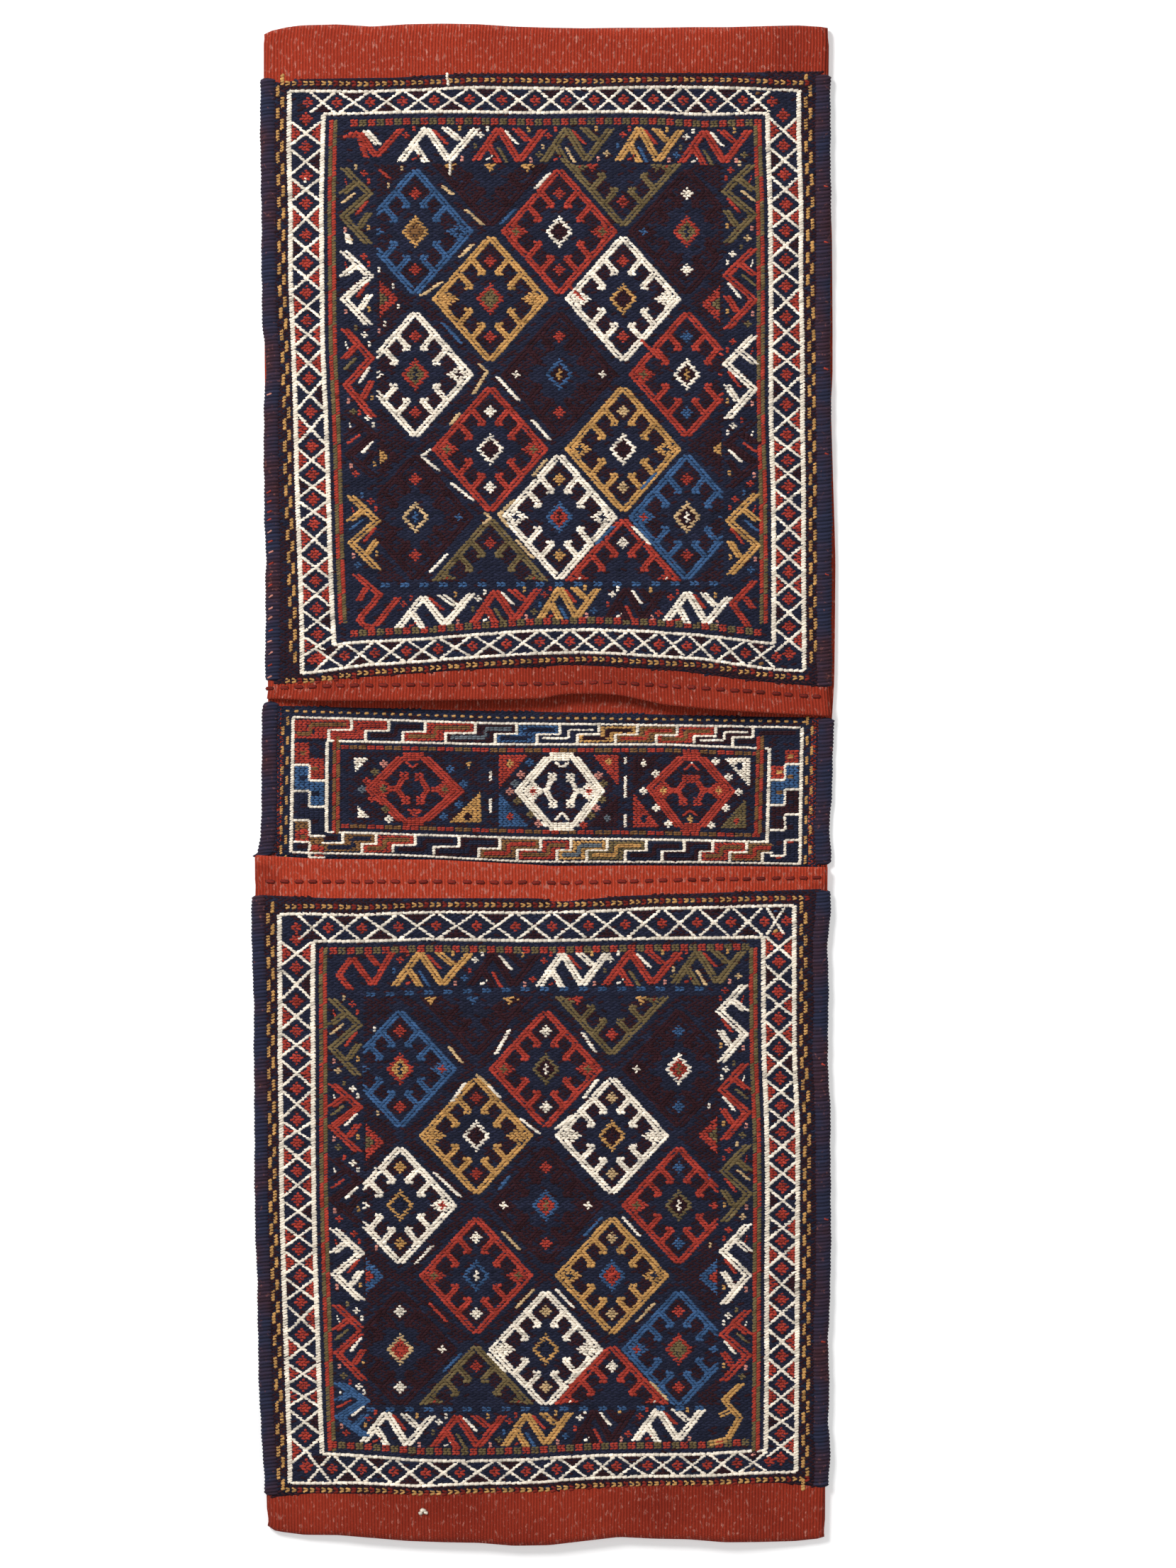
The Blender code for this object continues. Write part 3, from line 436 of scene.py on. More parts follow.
stitch = {"pitch": 2.3, "length": 4.2, "overlap": 1.34, "thick": 1.38, "steepOverlap": 0.14, "steepThick": 0.2,
          "rise": 1.2, "sink": 0.35, "lean": 0.42, "cell": 0.8, "shown": 0.34}
stitchFoot = np.array(path("-0.5,0 -0.34,-0.5 0.34,-0.5 0.5,0 0.34,0.5 -0.34,0.5 -0.27,0 0.27,0"))
stitchFaces = [np.array([[0, 1, 6], [5, 0, 6], [2, 3, 7], [3, 4, 7]]), np.array([[1, 2, 7, 6], [4, 5, 6, 7]]),
               np.array([[5, 4, 3, 2, 1, 0]])]


class Weave:  # wrapped stitches on one ground: each is a low closed mound that lies where its yarn does
    def __init__(self, name, surface, pitch=stitch["pitch"], length=stitch["length"]):
        self.name, self.surface, self.pitch, self.length = name, surface, pitch, length
        self.kept, self.names, self.piece, self.clip = [], [], "", None

    def start(self, piece, clip=None):  # the stitches that follow belong to this piece, inside this rectangle
        self.piece, self.clip = piece, clip
        if piece not in self.names:
            self.names.append(piece)

    def add(self, x, y, length, width, turn, wool, rise=1.0):
        x = np.ravel(x).astype(float)
        rest = (np.ravel(y), length, width, turn, rise, wool, self.names.index(self.piece))
        rows = np.stack([x] + [np.broadcast_to(v, len(x)).astype(float) for v in rest], axis=-1)
        if self.clip is not None:
            x0, x1, y0, y1 = self.clip
            rows = rows[(x > x0) & (x < x1) & (rows[:, 1] > y0) & (rows[:, 1] < y1)]
        self.kept.append(rows)

    def line(self, points, width, wool, rise=1.0):
        # a band along a line: leaning stitches row by row where it is steep, and strands along it elsewhere
        wool = woolNames.index(wool)
        for (x0, y0), (x1, y1) in zip(points[:-1], points[1:]):
            dx, dy = x1 - x0, y1 - y0
            run = float(np.hypot(dx, dy))
            if run < 0.3:
                continue
            if abs(dy) > 0.45 * abs(dx):
                rows = max(1, round(abs(dy) / self.pitch))
                t = (np.arange(rows) + 0.5)[:, None] / rows
                span = width * run / abs(dy)
                count = max(1, round(span / self.length))
                offsets = (np.arange(count) - (count - 1) / 2) * span / count
                lean = stitch["lean"] * (np.sign(dx * dy) if abs(dx) > 0.12 * abs(dy) else 1.15)
                self.add(x0 + t * dx + offsets, y0 + t * dy + offsets * 0,
                         span / count * (stitch["overlap"] + stitch["steepOverlap"]),
                         abs(dy) / rows * (stitch["thick"] + stitch["steepThick"]), lean, wool, rise)
            else:
                strands = max(1, round(width / self.pitch))
                count = max(1, round(run / self.length))
                t = (np.arange(count) + 0.5) / count
                offsets = (np.arange(strands) - (strands - 1) / 2)[:, None] * width / strands
                angle = float(np.arctan2(dy, dx))
                self.add(x0 + t * dx - offsets * np.sin(angle), y0 + t * dy + offsets * np.cos(angle),
                         run / count * stitch["overlap"], width / strands * stitch["thick"], angle + 0.10, wool,
                         rise)

    def fill(self, points, wool, rise=1.0, lean=0.3):
        # an area: rows of stitches between its edges, leaning to one side and the other by turns
        wool = woolNames.index(wool)
        a = np.array(points, float)
        b = np.roll(a, -1, axis=0)
        low, high = a[:, 1].min(), a[:, 1].max()
        rows = max(1, round((high - low) / self.pitch))
        tall = (high - low) / rows
        for k in range(rows):
            y = low + (k + 0.5) * tall
            hit = (a[:, 1] <= y) != (b[:, 1] <= y)
            share = (y - a[hit, 1]) / (b[hit, 1] - a[hit, 1])
            ends = np.sort(a[hit, 0] + share * (b[hit, 0] - a[hit, 0]))
            for left, right in zip(ends[::2], ends[1::2]):
                if right - left > 0.9:
                    count = max(1, round((right - left) / self.length))
                    x = left + (np.arange(count) + 0.5) * (right - left) / count
                    self.add(x, x * 0 + y, (right - left) / count * stitch["overlap"], tall * stitch["thick"],
                             lean * (-1) ** k, wool, rise)

    def dot(self, place, halfX, halfY, wool, rise=1.0):  # a small diamond
        x, y = place
        self.fill([(x - halfX, y), (x, y - halfY), (x + halfX, y), (x, y + halfY)], wool, rise)

    def box(self, x0, x1, y0, y1, wool):  # an upright rectangle
        self.fill([(x0, y0), (x1, y0), (x1, y1), (x0, y1)], wool)

    def block(self, place, halfX, halfY, wool):  # a small one round a place
        x, y = place
        self.box(x - halfX, x + halfX, y - halfY, y + halfY, wool)

    def finish(self, plates, slots, nodes):
        # stitches that later ones cover are left out; the rest are six points round a foot and two on a ridge
        rows = np.concatenate(self.kept)
        x, y, length, width, turn = rows.T[:5]
        cosine, sine = np.cos(turn)[:, None], np.sin(turn)[:, None]
        probe = np.array([(a, b) for a in (-0.3, -0.15, 0, 0.15, 0.3) for b in (-0.2, 0, 0.2)])
        px = x[:, None] + probe[:, 0] * length[:, None] * cosine - probe[:, 1] * width[:, None] * sine
        py = y[:, None] + probe[:, 0] * length[:, None] * sine + probe[:, 1] * width[:, None] * cosine
        ix, iy = (((p - p.min()) / stitch["cell"]).astype(int) for p in (px, py))
        owner = np.full((ix.max() + 1, iy.max() + 1), -1)
        number = np.broadcast_to(np.arange(len(x))[:, None], ix.shape)
        owner[ix, iy] = number
        alive = (owner[ix, iy] == number).mean(axis=1) > stitch["shown"]
        x, y, length, width, turn, rise, wool, piece = rows[alive].T
        count = len(x)
        x = x + chance.normal(0, 0.12, count)
        y = y + chance.normal(0, 0.10, count)
        turn = turn + chance.normal(0, 0.07, count)
        length = length * chance.uniform(0.94, 1.08, count)
        rise = rise * stitch["rise"] * chance.uniform(0.82, 1.15, count)
        shade = chance.normal(0, 0.33, count) + 0.3 * np.sin(y / 7.3 + piece) * np.sin(y / 2.9)
        lx, ly = stitchFoot[:, 0] * length[:, None], stitchFoot[:, 1] * width[:, None]
        cosine, sine = np.cos(turn)[:, None], np.sin(turn)[:, None]
        vx, vy = x[:, None] + lx * cosine - ly * sine, y[:, None] + lx * sine + ly * cosine
        vz = self.surface(vx, vy) + np.where(np.arange(8) > 5, rise[:, None], -stitch["sink"])
        slide = chance.uniform(0, 400, (count, 2, 1))
        points, places = np.stack([vx, vy, vz], axis=-1), np.stack([lx + slide[:, 0], ly + slide[:, 1]], axis=-1)
        for k, name in enumerate(self.names):
            mine = piece == k
            amount = int(mine.sum())
            if not amount:
                continue
            used, paint = np.unique(wool[mine].astype(int), return_inverse=True)
            base = np.arange(amount)[:, None, None] * 8
            faces = [(base + p).reshape(-1, p.shape[1]) for p in stitchFaces]
            paints = [np.repeat(paint, len(p)) for p in stitchFaces]
            shape = Shape()
            shape.add(points[mine].reshape(-1, 3), places[mine].reshape(-1, 2), np.repeat(shade[mine], 8), faces,
                      paints)
            if name in plates:
                platePoints, plateFaces = plates[name]
                # the navy plate under the ground stitches is darkened by a shade of -0.6: painted shade in the
                # gaps between the stitches
                shape.add(platePoints, platePoints[:, :2] * 0.1, -0.6, plateFaces, [len(used)])
                used = np.append(used, woolNames.index("navy"))
            shape.finish(name, [woolPaints[i] for i in used], slots.get(name, slots["other"]),
                         nodes.get(name, ()))
        print(self.name, "stitches", count, "of", len(rows))


groundEdges = ("groundLeft", "groundRight", "bottom", "top")


def underlay(data, surface, columns=41, rows=45):
    # a thin dark plate: a share u of the way across and v of the way up between the ground's four edges
    left, right, bottom, top = (data[key] for key in groundEdges)
    u, v = np.meshgrid(np.linspace(0, 1, columns), np.linspace(0, 1, rows))
    rough = left(0.0) + u * (right(0.0) - left(0.0))
    y = bottom(rough) + v * (top(rough) - bottom(rough))
    x = left(y) + u * (right(y) - left(y))
    y = bottom(x) + v * (top(x) - bottom(x))
    z = surface(x, y)
    return closedSheet(np.stack([x, y, z + 0.1], axis=-1), np.stack([x, y, z - 0.5], axis=-1))


def layGround(weave, piece, data, zone):  # rows of short dark stitches over the whole ground
    weave.start(piece)
    left, right, bottom, top = (data[key] for key in groundEdges)
    spread = np.linspace(-240, 240, 99)
    lowest, highest = float(bottom(spread).min()), float(top(spread).max())
    rows = int((highest - lowest) / weave.pitch)
    length = weave.length * 1.36
    y = lowest + (np.arange(rows) + 0.5)[:, None] * weave.pitch
    x = -245 + (np.arange(int(490 / length)) + 0.5) * length + (np.arange(rows) % 2)[:, None] * length / 2
    y = np.broadcast_to(y, x.shape)
    inside = (x > left(y)) & (x < right(y)) & (y > bottom(x)) & (y < top(x))
    lean = np.broadcast_to(0.34 * (-1.0) ** np.arange(rows)[:, None], x.shape)
    x, y, lean = x[inside], y[inside], lean[inside]
    weave.add(x, y, length * 1.16, weave.pitch * 1.25, lean, zone(x, y), 0.8)


faceData = {
    "upper": {
        "groundLeft": shifted(outline["left"], 6.5), "groundRight": shifted(outline["right"], -7.5),
        "ruledFrom": 5,  # the first row whose lane dashes follow a rule
        "top": byWidth("-240,604 -222,600 -209.5,603.5 -125,604 -70.5,607.5 20.5,608 142,608 239,610.5"),
        "bottom": byWidth(
            "-236.5,85.5 -228,86 -173.5,90.5 -125,94 -76.5,97.5 -40,99.5 -3.5,100.5 20.5,102.5 69,100.5 "
            "117.5,97 178,89 248,83"),
        "outerLeft": byHeight(
            "-217,577 -217.5,546.5 -216,495 -216,434.5 -213.5,374 -211.5,313.5 -210.5,252.5 -208,192 "
            "-206.5,143.5 -206,115"),
        "innerLeft": byHeight(
            "-187.5,577 -188.5,546.5 -189.5,495 -189,434.5 -188.5,374 -185.5,313.5 -183.5,252.5 -182,192 "
            "-180,143.5 -178,115"),
        "innerRight": byHeight(
            "192,577 192.5,546.5 194.5,495 195,434.5 195,374 195,313.5 197,252.5 197.5,192 197.5,115"),
        "outerRight": byHeight(
            "219,577 219,546.5 221,495 220.5,434.5 222,374 222,313.5 223,252.5 223,192 223.5,115"),
        "outerTop": byWidth(
            "-202.5,593.5 -155,592 -106.5,593.5 -58,596 -9.5,595 39,594.5 87.5,596 136,596 178,595 "
            "208.5,594"),
        "innerTop": byWidth(
            "-202.5,573.5 -155,573.5 -106.5,575 -58,575 -9.5,574 39,575 87.5,575 136,572.5 178,574 "
            "208.5,574"),
        "innerBottom": byWidth(
            "-202.5,117 -155,122 -106.5,124 -58,128 -9.5,131.5 39,132.5 87.5,131 136,127.5 178,122.5 "
            "208.5,119"),
        "outerBottom": byWidth(
            "-202.5,95 -155,102 -106.5,105 -58,109 -9.5,112 39,113.5 87.5,110.5 136,107.5 178,101 "
            "208.5,97.5"),
        "leftDiamonds": [
            569.5, 545.5, 520.5, 497.5, 470.5, 446, 421, 397, 373.5, 347.5, 319, 289.5, 265.5, 244, 223,
            197, 174.5, 150.5, 128.5, 108.5],
        "rightDiamonds": [
            572.5, 546.5, 522, 496.5, 474, 449, 426.5, 400, 374, 351, 325, 299.5, 277.5, 255, 232, 206.5,
            182, 159, 135, 112],
        "topDiamonds": [
            -201, -176, -147.5, -120, -92.5, -62.5, -35, -6.5, 20, 44, 69, 94.5, 120, 144, 171, 196],
        "bottomDiamonds": [
            -197, -169.5, -143.5, -116.5, -89.5, -60, -31, -2.5, 23, 48.5, 73.5, 99.5, 123, 147.5, 173.5,
            200],
        "bands": {"top": (42, 13.5), "bottom": (10.5, 36.5), "left": (19, 41), "right": (14.5, 38)},
        "figures": {
            "top": woolPlaces("ivory -123.5,-57; red -59,0.5; olive -1,58; gold 63,117.5; red 116.5,176"),
            "bottom": woolPlaces(
                "ivory -125.5,-61; red -61,-4; gold -3.5,46.5; aubergine 54.5,102; ivory 104,159"),
            "left": woolPlaces(
                "olive 529,462; ivory 458,392.5; red 392,314; aubergine 319,262; gold 248.5,184"),
            "right": woolPlaces(
                "olive 532,463; red 460.5,389.5; ivory 386,312.5; aubergine 312.5,254; gold 251,179.5")},
        "corners": woolPaths(
            "red -167.5,552.5 -158,558 -151,536; red -156.5,557.5 -142.5,536.5 -121,560.5; ivory "
            "-151.5,559 -140.5,546.5; red -160,179.5 -139.5,162 -157,141 -152.5,135 -143.5,135 "
            "-123.5,160; red -150.5,168.5 -157.5,157; red 181,174.5 162,154 176,135; red 172,160.5 "
            "180,150.5; ivory -167.5,471 -165,462"),
        "field": (-141, 154, 174, 530.5), "diamondHalf": (49.5, 56), "columns": [-109, -45, 14, 68.5, 123],
        "rows": [530.5, 472.5, 415, 350.5, 286.5, 228.5, 174],
        "diamonds": {  # row, column: outline, ring, inner ring, heart, end dots, eyes
            (0, 1): "aubergine - - - - gold", (0, 3): "olive - - - red red",
            (1, 0): "blue gold brown brown red navy", (1, 2): "red ivory aubergine aubergine red olive",
            (1, 4): "aubergine red olive navy ivory blue", (2, 1): "gold red olive olive red gold",
            (2, 3): "ivory gold aubergine aubergine red ivory",
            (3, 0): "ivory red olive navy red aubergine", (3, 2): "aubergine blue aubergine gold red ivory",
            (3, 4): "red ivory aubergine gold blue olive",
            (4, 1): "red ivory aubergine aubergine ivory olive",
            (4, 3): "gold ivory aubergine aubergine tan navy", (5, 0): "aubergine tan navy blue red blue",
            (5, 2): "ivory blue red aubergine gold navy", (5, 4): "blue tan aubergine ivory red red",
            (6, 1): "olive - - - red red", (6, 3): "red - - - ivory ivory"},
        "edgeTriangles": [
            ("red", "olive", (-139.5, 415), 1), ("red", "olive", (151.5, 410.5), -1),
            ("aubergine", "gold", (-139.5, 280), 1), ("aubergine", "gold", (152.5, 286.5), -1)],
        "topTriangles": woolPlaces(
            "gold -79,530.5; gold -45,530.5; gold -13.5,530.5; red 42,530.5; olive 96.5,530.5"),
        "dashes": {
            "tan": paths(
                "-66,491.5 -50.5,478; -86,511.5 -76.5,503.5; -59.5,462 -71,450.5; -86.5,429.5 "
                "-104,417.5; -54.5,359.5 -48,352.5 -59.5,333.5; -71.5,317.5 -79,307.5; 3,278 -8.5,263.5; "
                "-25,243 -37.5,230.5 -28.5,219.5; -49,232.5 -45,228 -50.5,222.5"),
            "blue": paths("-86,395 -69.5,377; -23.5,492 -36,479; 84,252.5 96.5,266"),
            "ivory": paths(
                "5.5,522.5 -6.5,509; -39,348.5 -20.5,328; -9,311.5 6,294.5; -96.5,286 -103.5,280.5 "
                "-89,268.5; -78,257.5 -60,243"),
            "red": paths("-139.5,525.5 -131,518; 84,380 99.5,364; 20.5,428.5 34,414")},
        "marks": woolPlaces(
            "tan -132,512; tan -120.5,526.5; ivory -140,440; ivory -128,426; ivory -123.5,408.5; ivory "
            "-135,393.5; ivory -203.5,517; pink -140,387.5"),
        "dottedRows": [byWidth("-143,170.5 154,172")],
        "lip": byWidth("-236.5,82.5 -173.5,85 -125,85.5 -3.5,86.5 57,88 117.5,84 178,80 248.5,74.5")},
    "lower": {
        "groundLeft": shifted(outline["left"], 5.5), "groundRight": shifted(outline["right"], -7.5),
        "ruledFrom": 3,
        "top": byWidth("-250.5,-94 -185.5,-97 -100.5,-97 -3.5,-97 11.5,-100.5 69,-95 142,-92.5 245,-89"),
        "bottom": byWidth(
            "-239,-610.5 -197.5,-606 -100.5,-605.5 -76.5,-605 -12.5,-604 20.5,-602 69,-599.5 142,-597.5 "
            "202.5,-597 246,-602"),
        "outerLeft": byHeight(
            "-225.5,-124 -225,-162.5 -225,-232 -224,-292.5 -223.5,-353.5 -222,-414 -220,-474.5 -218,-535 "
            "-216.5,-576"),
        "innerLeft": byHeight(
            "-196,-124 -197,-162.5 -196.5,-232 -196.5,-292.5 -196,-353.5 -194.5,-414 -192.5,-474.5 "
            "-190.5,-535 -188.5,-576"),
        "innerRight": byHeight(
            "188.5,-124 188.5,-162.5 189,-232 191.5,-292.5 192,-353.5 191.5,-414 191.5,-474.5 191,-535 "
            "190.5,-576"),
        "outerRight": byHeight(
            "215,-124 215,-162.5 215,-232 218,-292.5 218,-353.5 217.5,-414 217.5,-474.5 217,-535 "
            "216.5,-576"),
        "outerTop": byWidth(
            "-225.5,-111 -202.5,-110.5 -155,-111.5 -106.5,-109 -58,-109 -9.5,-109.5 39,-108.5 87.5,-106 "
            "136,-105 178,-104 208.5,-103.5"),
        "innerTop": byWidth(
            "-202.5,-134 -155,-134 -106.5,-132 -58,-132.5 -9.5,-133.5 39,-132.5 87.5,-131.5 136,-131 "
            "178,-130.5 208.5,-129.5"),
        "innerBottom": byWidth(
            "-202.5,-571.5 -155,-573.5 -106.5,-577.5 -58,-578 -9.5,-576.5 39,-573.5 87.5,-572.5 136,-572 "
            "178,-569.5 208.5,-568.5"),
        "outerBottom": byWidth(
            "-202.5,-597.5 -155,-596.5 -106.5,-599.5 -58,-597 -9.5,-596.5 39,-592.5 87.5,-591 136,-590.5 "
            "178,-588.5 208.5,-588"),
        "leftDiamonds": [
            -132.5, -156.5, -185.5, -211, -234, -260, -286.5, -306.5, -330.5, -354.5, -376, -397.5, -420.5,
            -443, -470.5, -494, -514, -533.5, -557, -582.5],
        "rightDiamonds": [
            -127.5, -151.5, -177, -200, -226, -251, -274.5, -297.5, -321, -344, -367.5, -390.5, -414, -440,
            -464, -489, -512.5, -535, -555, -576.5],
        "topDiamonds": [
            -211, -183.5, -154.5, -123.5, -91, -56.5, -23.5, 8, 39, 70.5, 102, 132, 161, 189.5, 208.5],
        "bottomDiamonds": [
            -202.5, -180, -154.5, -127.5, -100, -71, -41, -14.5, 12, 39, 63, 89.5, 115, 140.5, 166, 193.5],
        "bands": {"top": (39, 11), "bottom": (12, 39), "left": (16.5, 39), "right": (16.5, 37.5)},
        "figures": {
            "top": woolPlaces(
                "gold -128.5,-63; aubergine -63.5,-5; ivory -5,54.5; red 51.5,116; olive 110.5,170.5"),
            "bottom": woolPlaces(
                "ivory -155,-95; red -95,-34; gold -34.5,23; aubergine 26.5,76; ivory 77,136"),
            "left": woolPlaces(
                "olive -181,-248.5; red -254,-313.5; aubergine -317.5,-374.5; ivory -377.5,-440.5; red "
                "-442.5,-509; blue -509.5,-557"),
            "right": woolPlaces(
                "ivory -169,-237; red -236.5,-303.5; olive -305.5,-373.5; ivory -373.5,-444; red "
                "-447.5,-509.5")},
        "corners": woolPaths(
            "red -164,-175 -174.5,-163 -163,-147.5 -145.5,-171.5 -128.5,-143; red -141,-155 "
            "-148.5,-145.5; gold 169.5,-512 155,-526 168.5,-541 157.5,-559.5 142,-563; gold 160,-535 "
            "150.5,-539"),
        "field": (-153.5, 149.5, -529.5, -181), "diamondHalf": (48.5, 52.5),
        "columns": [-122, -57, 2.5, 59, 116], "rows": [-181, -243, -300, -359.5, -419.5, -482.5, -529.5],
        "diamonds": {  # row, column: outline, ring, inner ring, heart, end dots, eyes
            (0, 1): "aubergine - - - - gold", (0, 3): "olive - - - red red",
            (1, 0): "blue red gold navy red red", (1, 2): "red olive aubergine ivory ivory olive",
            (1, 4): "aubergine ivory red olive blue ivory",
            (2, 1): "gold ivory aubergine aubergine red gold",
            (2, 3): "ivory gold aubergine aubergine tan ivory", (3, 0): "ivory gold navy navy gold red",
            (3, 2): "aubergine blue red olive red ivory", (3, 4): "red olive aubergine ivory blue olive",
            (4, 1): "red blue navy ivory ivory olive", (4, 3): "gold blue red red tan navy",
            (5, 0): "aubergine tan red red ivory ivory", (5, 2): "ivory gold navy navy tan ivory",
            (5, 4): "blue red olive olive red red", (6, 1): "olive - - - red red",
            (6, 3): "red - - - ivory ivory"},
        "edgeTriangles": [
            ("red", "olive", (-151.5, -305.5), 1), ("red", "olive", (149, -299.5), -1),
            ("blue", "red", (-151.5, -420), 1), ("blue", "red", (149, -421), -1)],
        "topTriangles": woolPlaces(
            "gold -96,-181; blue -60,-181; gold -29,-181; red 29.5,-181; gold 84,-181"),
        "dashes": {
            "tan": paths("-80,-224 -69.5,-237.5; -56.5,-248 -46,-257.5"),
            "blue": paths("-29,-334.5 -37.5,-346"),
            "ivory": paths(
                "-28.5,-209.5 -40.5,-230.5; 33.5,-211.5 45,-228.5; -46,-257.5 -36.5,-267.5; -66.5,-255 "
                "-78,-271; 46.5,-252 35,-268; -19,-285.5 -3,-298; 25,-282.5 11.5,-294; -92.5,-331.5 "
                "-71,-352")},
        "marks": woolPlaces(
            "ivory -144,-209; blue -144,-221; tan -141,-280.5; ivory -143,-329; ivory 142,-274.5; tan "
            "143,-393.5; blue 142,-335; pink -142.5,-396"),
        "dottedRows": [
            byWidth("-152.5,-179.5 -88.5,-177 -9.5,-174.5 149.5,-174.5"),
            byWidth("-152.5,-534 149.5,-532.5")],
        "lip": byWidth("-249,-82.5 -100.5,-82.5 20.5,-83.5 142,-80.5 245,-79")}}


def hookedDiamond(weave, cx, cy, halfX, halfY, words):
    # an outline whose sides carry inward hooks, a ringed heart, two dots and a filled eye at each side corner
    outlineWool, ring, inner, heart, dots, eyes = words.split()
    band = 6
    ax, ay = halfX - 3, halfY - 3
    for sx in (-1, 1):
        for sy in (-1, 1):
            weave.line([(cx, cy + sy * ay), (cx + sx * ax, cy)], band, outlineWool)
            for base in (0.35, 0.58):
                bx, by = cx + sx * ax * base, cy + sy * ay * (1 - base)
                ex, ey = bx - sx * 0.22 * ax, by - sy * 0.22 * ay
                weave.line([(bx, by), (ex, ey)], 5, outlineWool)
                weave.line([(ex, ey), (ex + sx * 3.5, ey - sy * 3)], 4.5, outlineWool)
        weave.dot((cx + sx * (ax - 9.5), cy), 10.5, 7.5, outlineWool)
        if eyes != outlineWool:
            weave.dot((cx + sx * (ax - 9.5), cy), 4, 3.5, eyes, 1.15)
    if dots != "-":
        for sy in (-1, 1):
            weave.dot((cx, cy + sy * 32.5), 5.5, 5.5, dots)
    if ring != "-":
        weave.dot((cx, cy), 12.5, 14, ring)
        weave.dot((cx, cy), 8.5, 9, inner, 1.05)
        weave.dot((cx, cy), 4, 5, heart, 1.1)


def figurePlace(band, s0, s1, edge, reach, s, t):
    # a point of a hooked figure: s runs along its band from s0 to s1, t from its foot line to its far line
    foot, far = reach
    along = s0 + s * (s1 - s0)
    sign = 1 if band in ("left", "bottom") else -1
    across = float(edge(along)) + sign * (foot + t * (far - foot))
    return (along, across) if band in ("top", "bottom") else (across, along)


accents = {"ivory": ("red", "navy"), "red": ("ivory", "olive"), "olive": ("red", "tan"), "gold": ("red", "blue"),
           "aubergine": ("ivory", "red"), "blue": ("ivory", "red")}


def hookedFigure(weave, wool, place):
    # one running zig-zag of three legs with two barbs, and small strokes of other wools in its notches
    first, second = accents[wool]
    leg = 6.5
    weave.line([place(0.45, 0.93), place(0.63, 0.50)], 3, first)
    weave.line([place(0.35, 0.42), place(0.48, -0.05)], 3, second)
    weave.line([place(0.03, 0), place(0.36, 1), place(0.65, 0), place(1.0, 0.97)], leg, wool)
    weave.line([place(0.21, 0.5), place(0.36, -0.05)], leg * 0.9, wool)
    weave.line([place(0.80, 0.6), place(0.60, 1.0)], leg * 0.9, wool)
    weave.dot(place(0.10, 0.78), 3.5, 3, first)
    weave.dot(place(0.94, 0.22), 3.5, 3, second)
    for k, (s, t) in enumerate([(0.02, 0.45), (0.20, 0.97), (0.82, 0.06), (0.79, 0.97)]):
        weave.dot(place(s, t), 3, 2.5, (second, first, "pink", "gold")[k])
    weave.fill([place(0.22, 0.02), place(0.29, 0.20), place(0.13, 0.02)], first)


lattice = {"gap": 2, "side": ["red", "navy", "red", "red", "aubergine", "navy", "red", "red"],
           "end": ["navy", "aubergine"], "flecks": ("red", "blue", "gold", "brown", "pink")}


def latticeSide(weave, outer, inner, places, wools, upright):
    # crossing lines between two ropes, triangles of wool at the ropes and a small red diamond at each crossing
    def at(share, run):  # share 0 is on the outer rope and 1 on the inner one
        across = float(outer(run)) + share * float(inner(run) - outer(run))
        return (across, run) if upright else (run, across)

    spans = [(a, b, lattice["gap"] * np.sign(b - a)) for a, b in zip(places[:-1], places[1:])]
    for k, (a, b, step) in enumerate(spans):
        for share, colour in ((0.08, wools[k % len(wools)]), (0.92, wools[(k + 3) % len(wools)])):
            if colour != "navy":
                weave.fill([at(share, a + step * 2.4), at(share, b - step * 2.4),
                            at(0.5 + 0.3 * (share - 0.5), (a + b) / 2)], colour)
    for a, b, step in spans:
        for first, last in ((0.06, 0.94), (0.94, 0.06)):
            weave.line([at(first, a + step), at(last, b - step)], 3 if upright else 2.5, "ivory")
    if not upright:  # two flecks of other wools in the last gap
        for j, share in enumerate((0.17, 0.83)):
            wool = lattice["flecks"][(2 * len(spans) - 2 + j) % 5]
            weave.block(at(share, (places[-2] + places[-1]) / 2), 2, 1.5, wool)
    for a in places:
        weave.dot(at(0.5, a), 6, 6 if upright else 4.5, "red")


def guardAndLattice(weave, name, data):  # the gold guard, then the ivory lattices and the ropes beside them
    outer = {key: data["outer" + key] for key in ("Left", "Right", "Top", "Bottom")}
    inner = {key: data["inner" + key] for key in outer}
    weave.start(name + "_gold_guard_stitches")
    for side, edge in ((-1, outer["Left"]), (1, outer["Right"])):
        runs = np.arange(float(outer["Bottom"](0)) - 8, float(outer["Top"](0)) + 4, 9.5)
        for k, y in enumerate(runs):
            x = float(edge(y)) + side * (9.8 if k % 2 else 6.0)
            weave.line([(x, y), (x, y + 9.5)], 3, "gold")
    for edge, step in ((outer["Top"], 6.5), (outer["Bottom"], -6)):
        for x in np.arange(-220.5, 226.5, 15.5):
            y = float(edge(x)) + step
            for slip, halfY, wool in ((2, 2, "gold"), (7.5, 2, "gold"), (12.5, 2.5, "madder")):
                weave.block((x + slip, y), 2, halfY, wool)
    weave.start(name + "_ivory_lattice_stitches")
    for key in outer:
        upright = key in ("Left", "Right")
        latticeSide(weave, outer[key], inner[key], data[key.lower() + "Diamonds"],
                    lattice["side" if upright else "end"], upright)
    for key, lines in (("Left", outer), ("Left", inner), ("Right", inner), ("Right", outer)):
        x = float(lines[key](0))
        ys = np.linspace(float(lines["Bottom"](x)), float(lines["Top"](x)), 25)
        weave.line(list(zip(lines[key](ys), ys)), 4, "ivory", 1.3)
    for key, lines in (("Top", outer), ("Top", inner), ("Bottom", inner), ("Bottom", outer)):
        y = float(lines[key](0))
        xs = np.linspace(float(lines["Left"](y)), float(lines["Right"](y)), 25)
        weave.line(list(zip(xs, lines[key](xs))), 3, "ivory", 1.25)


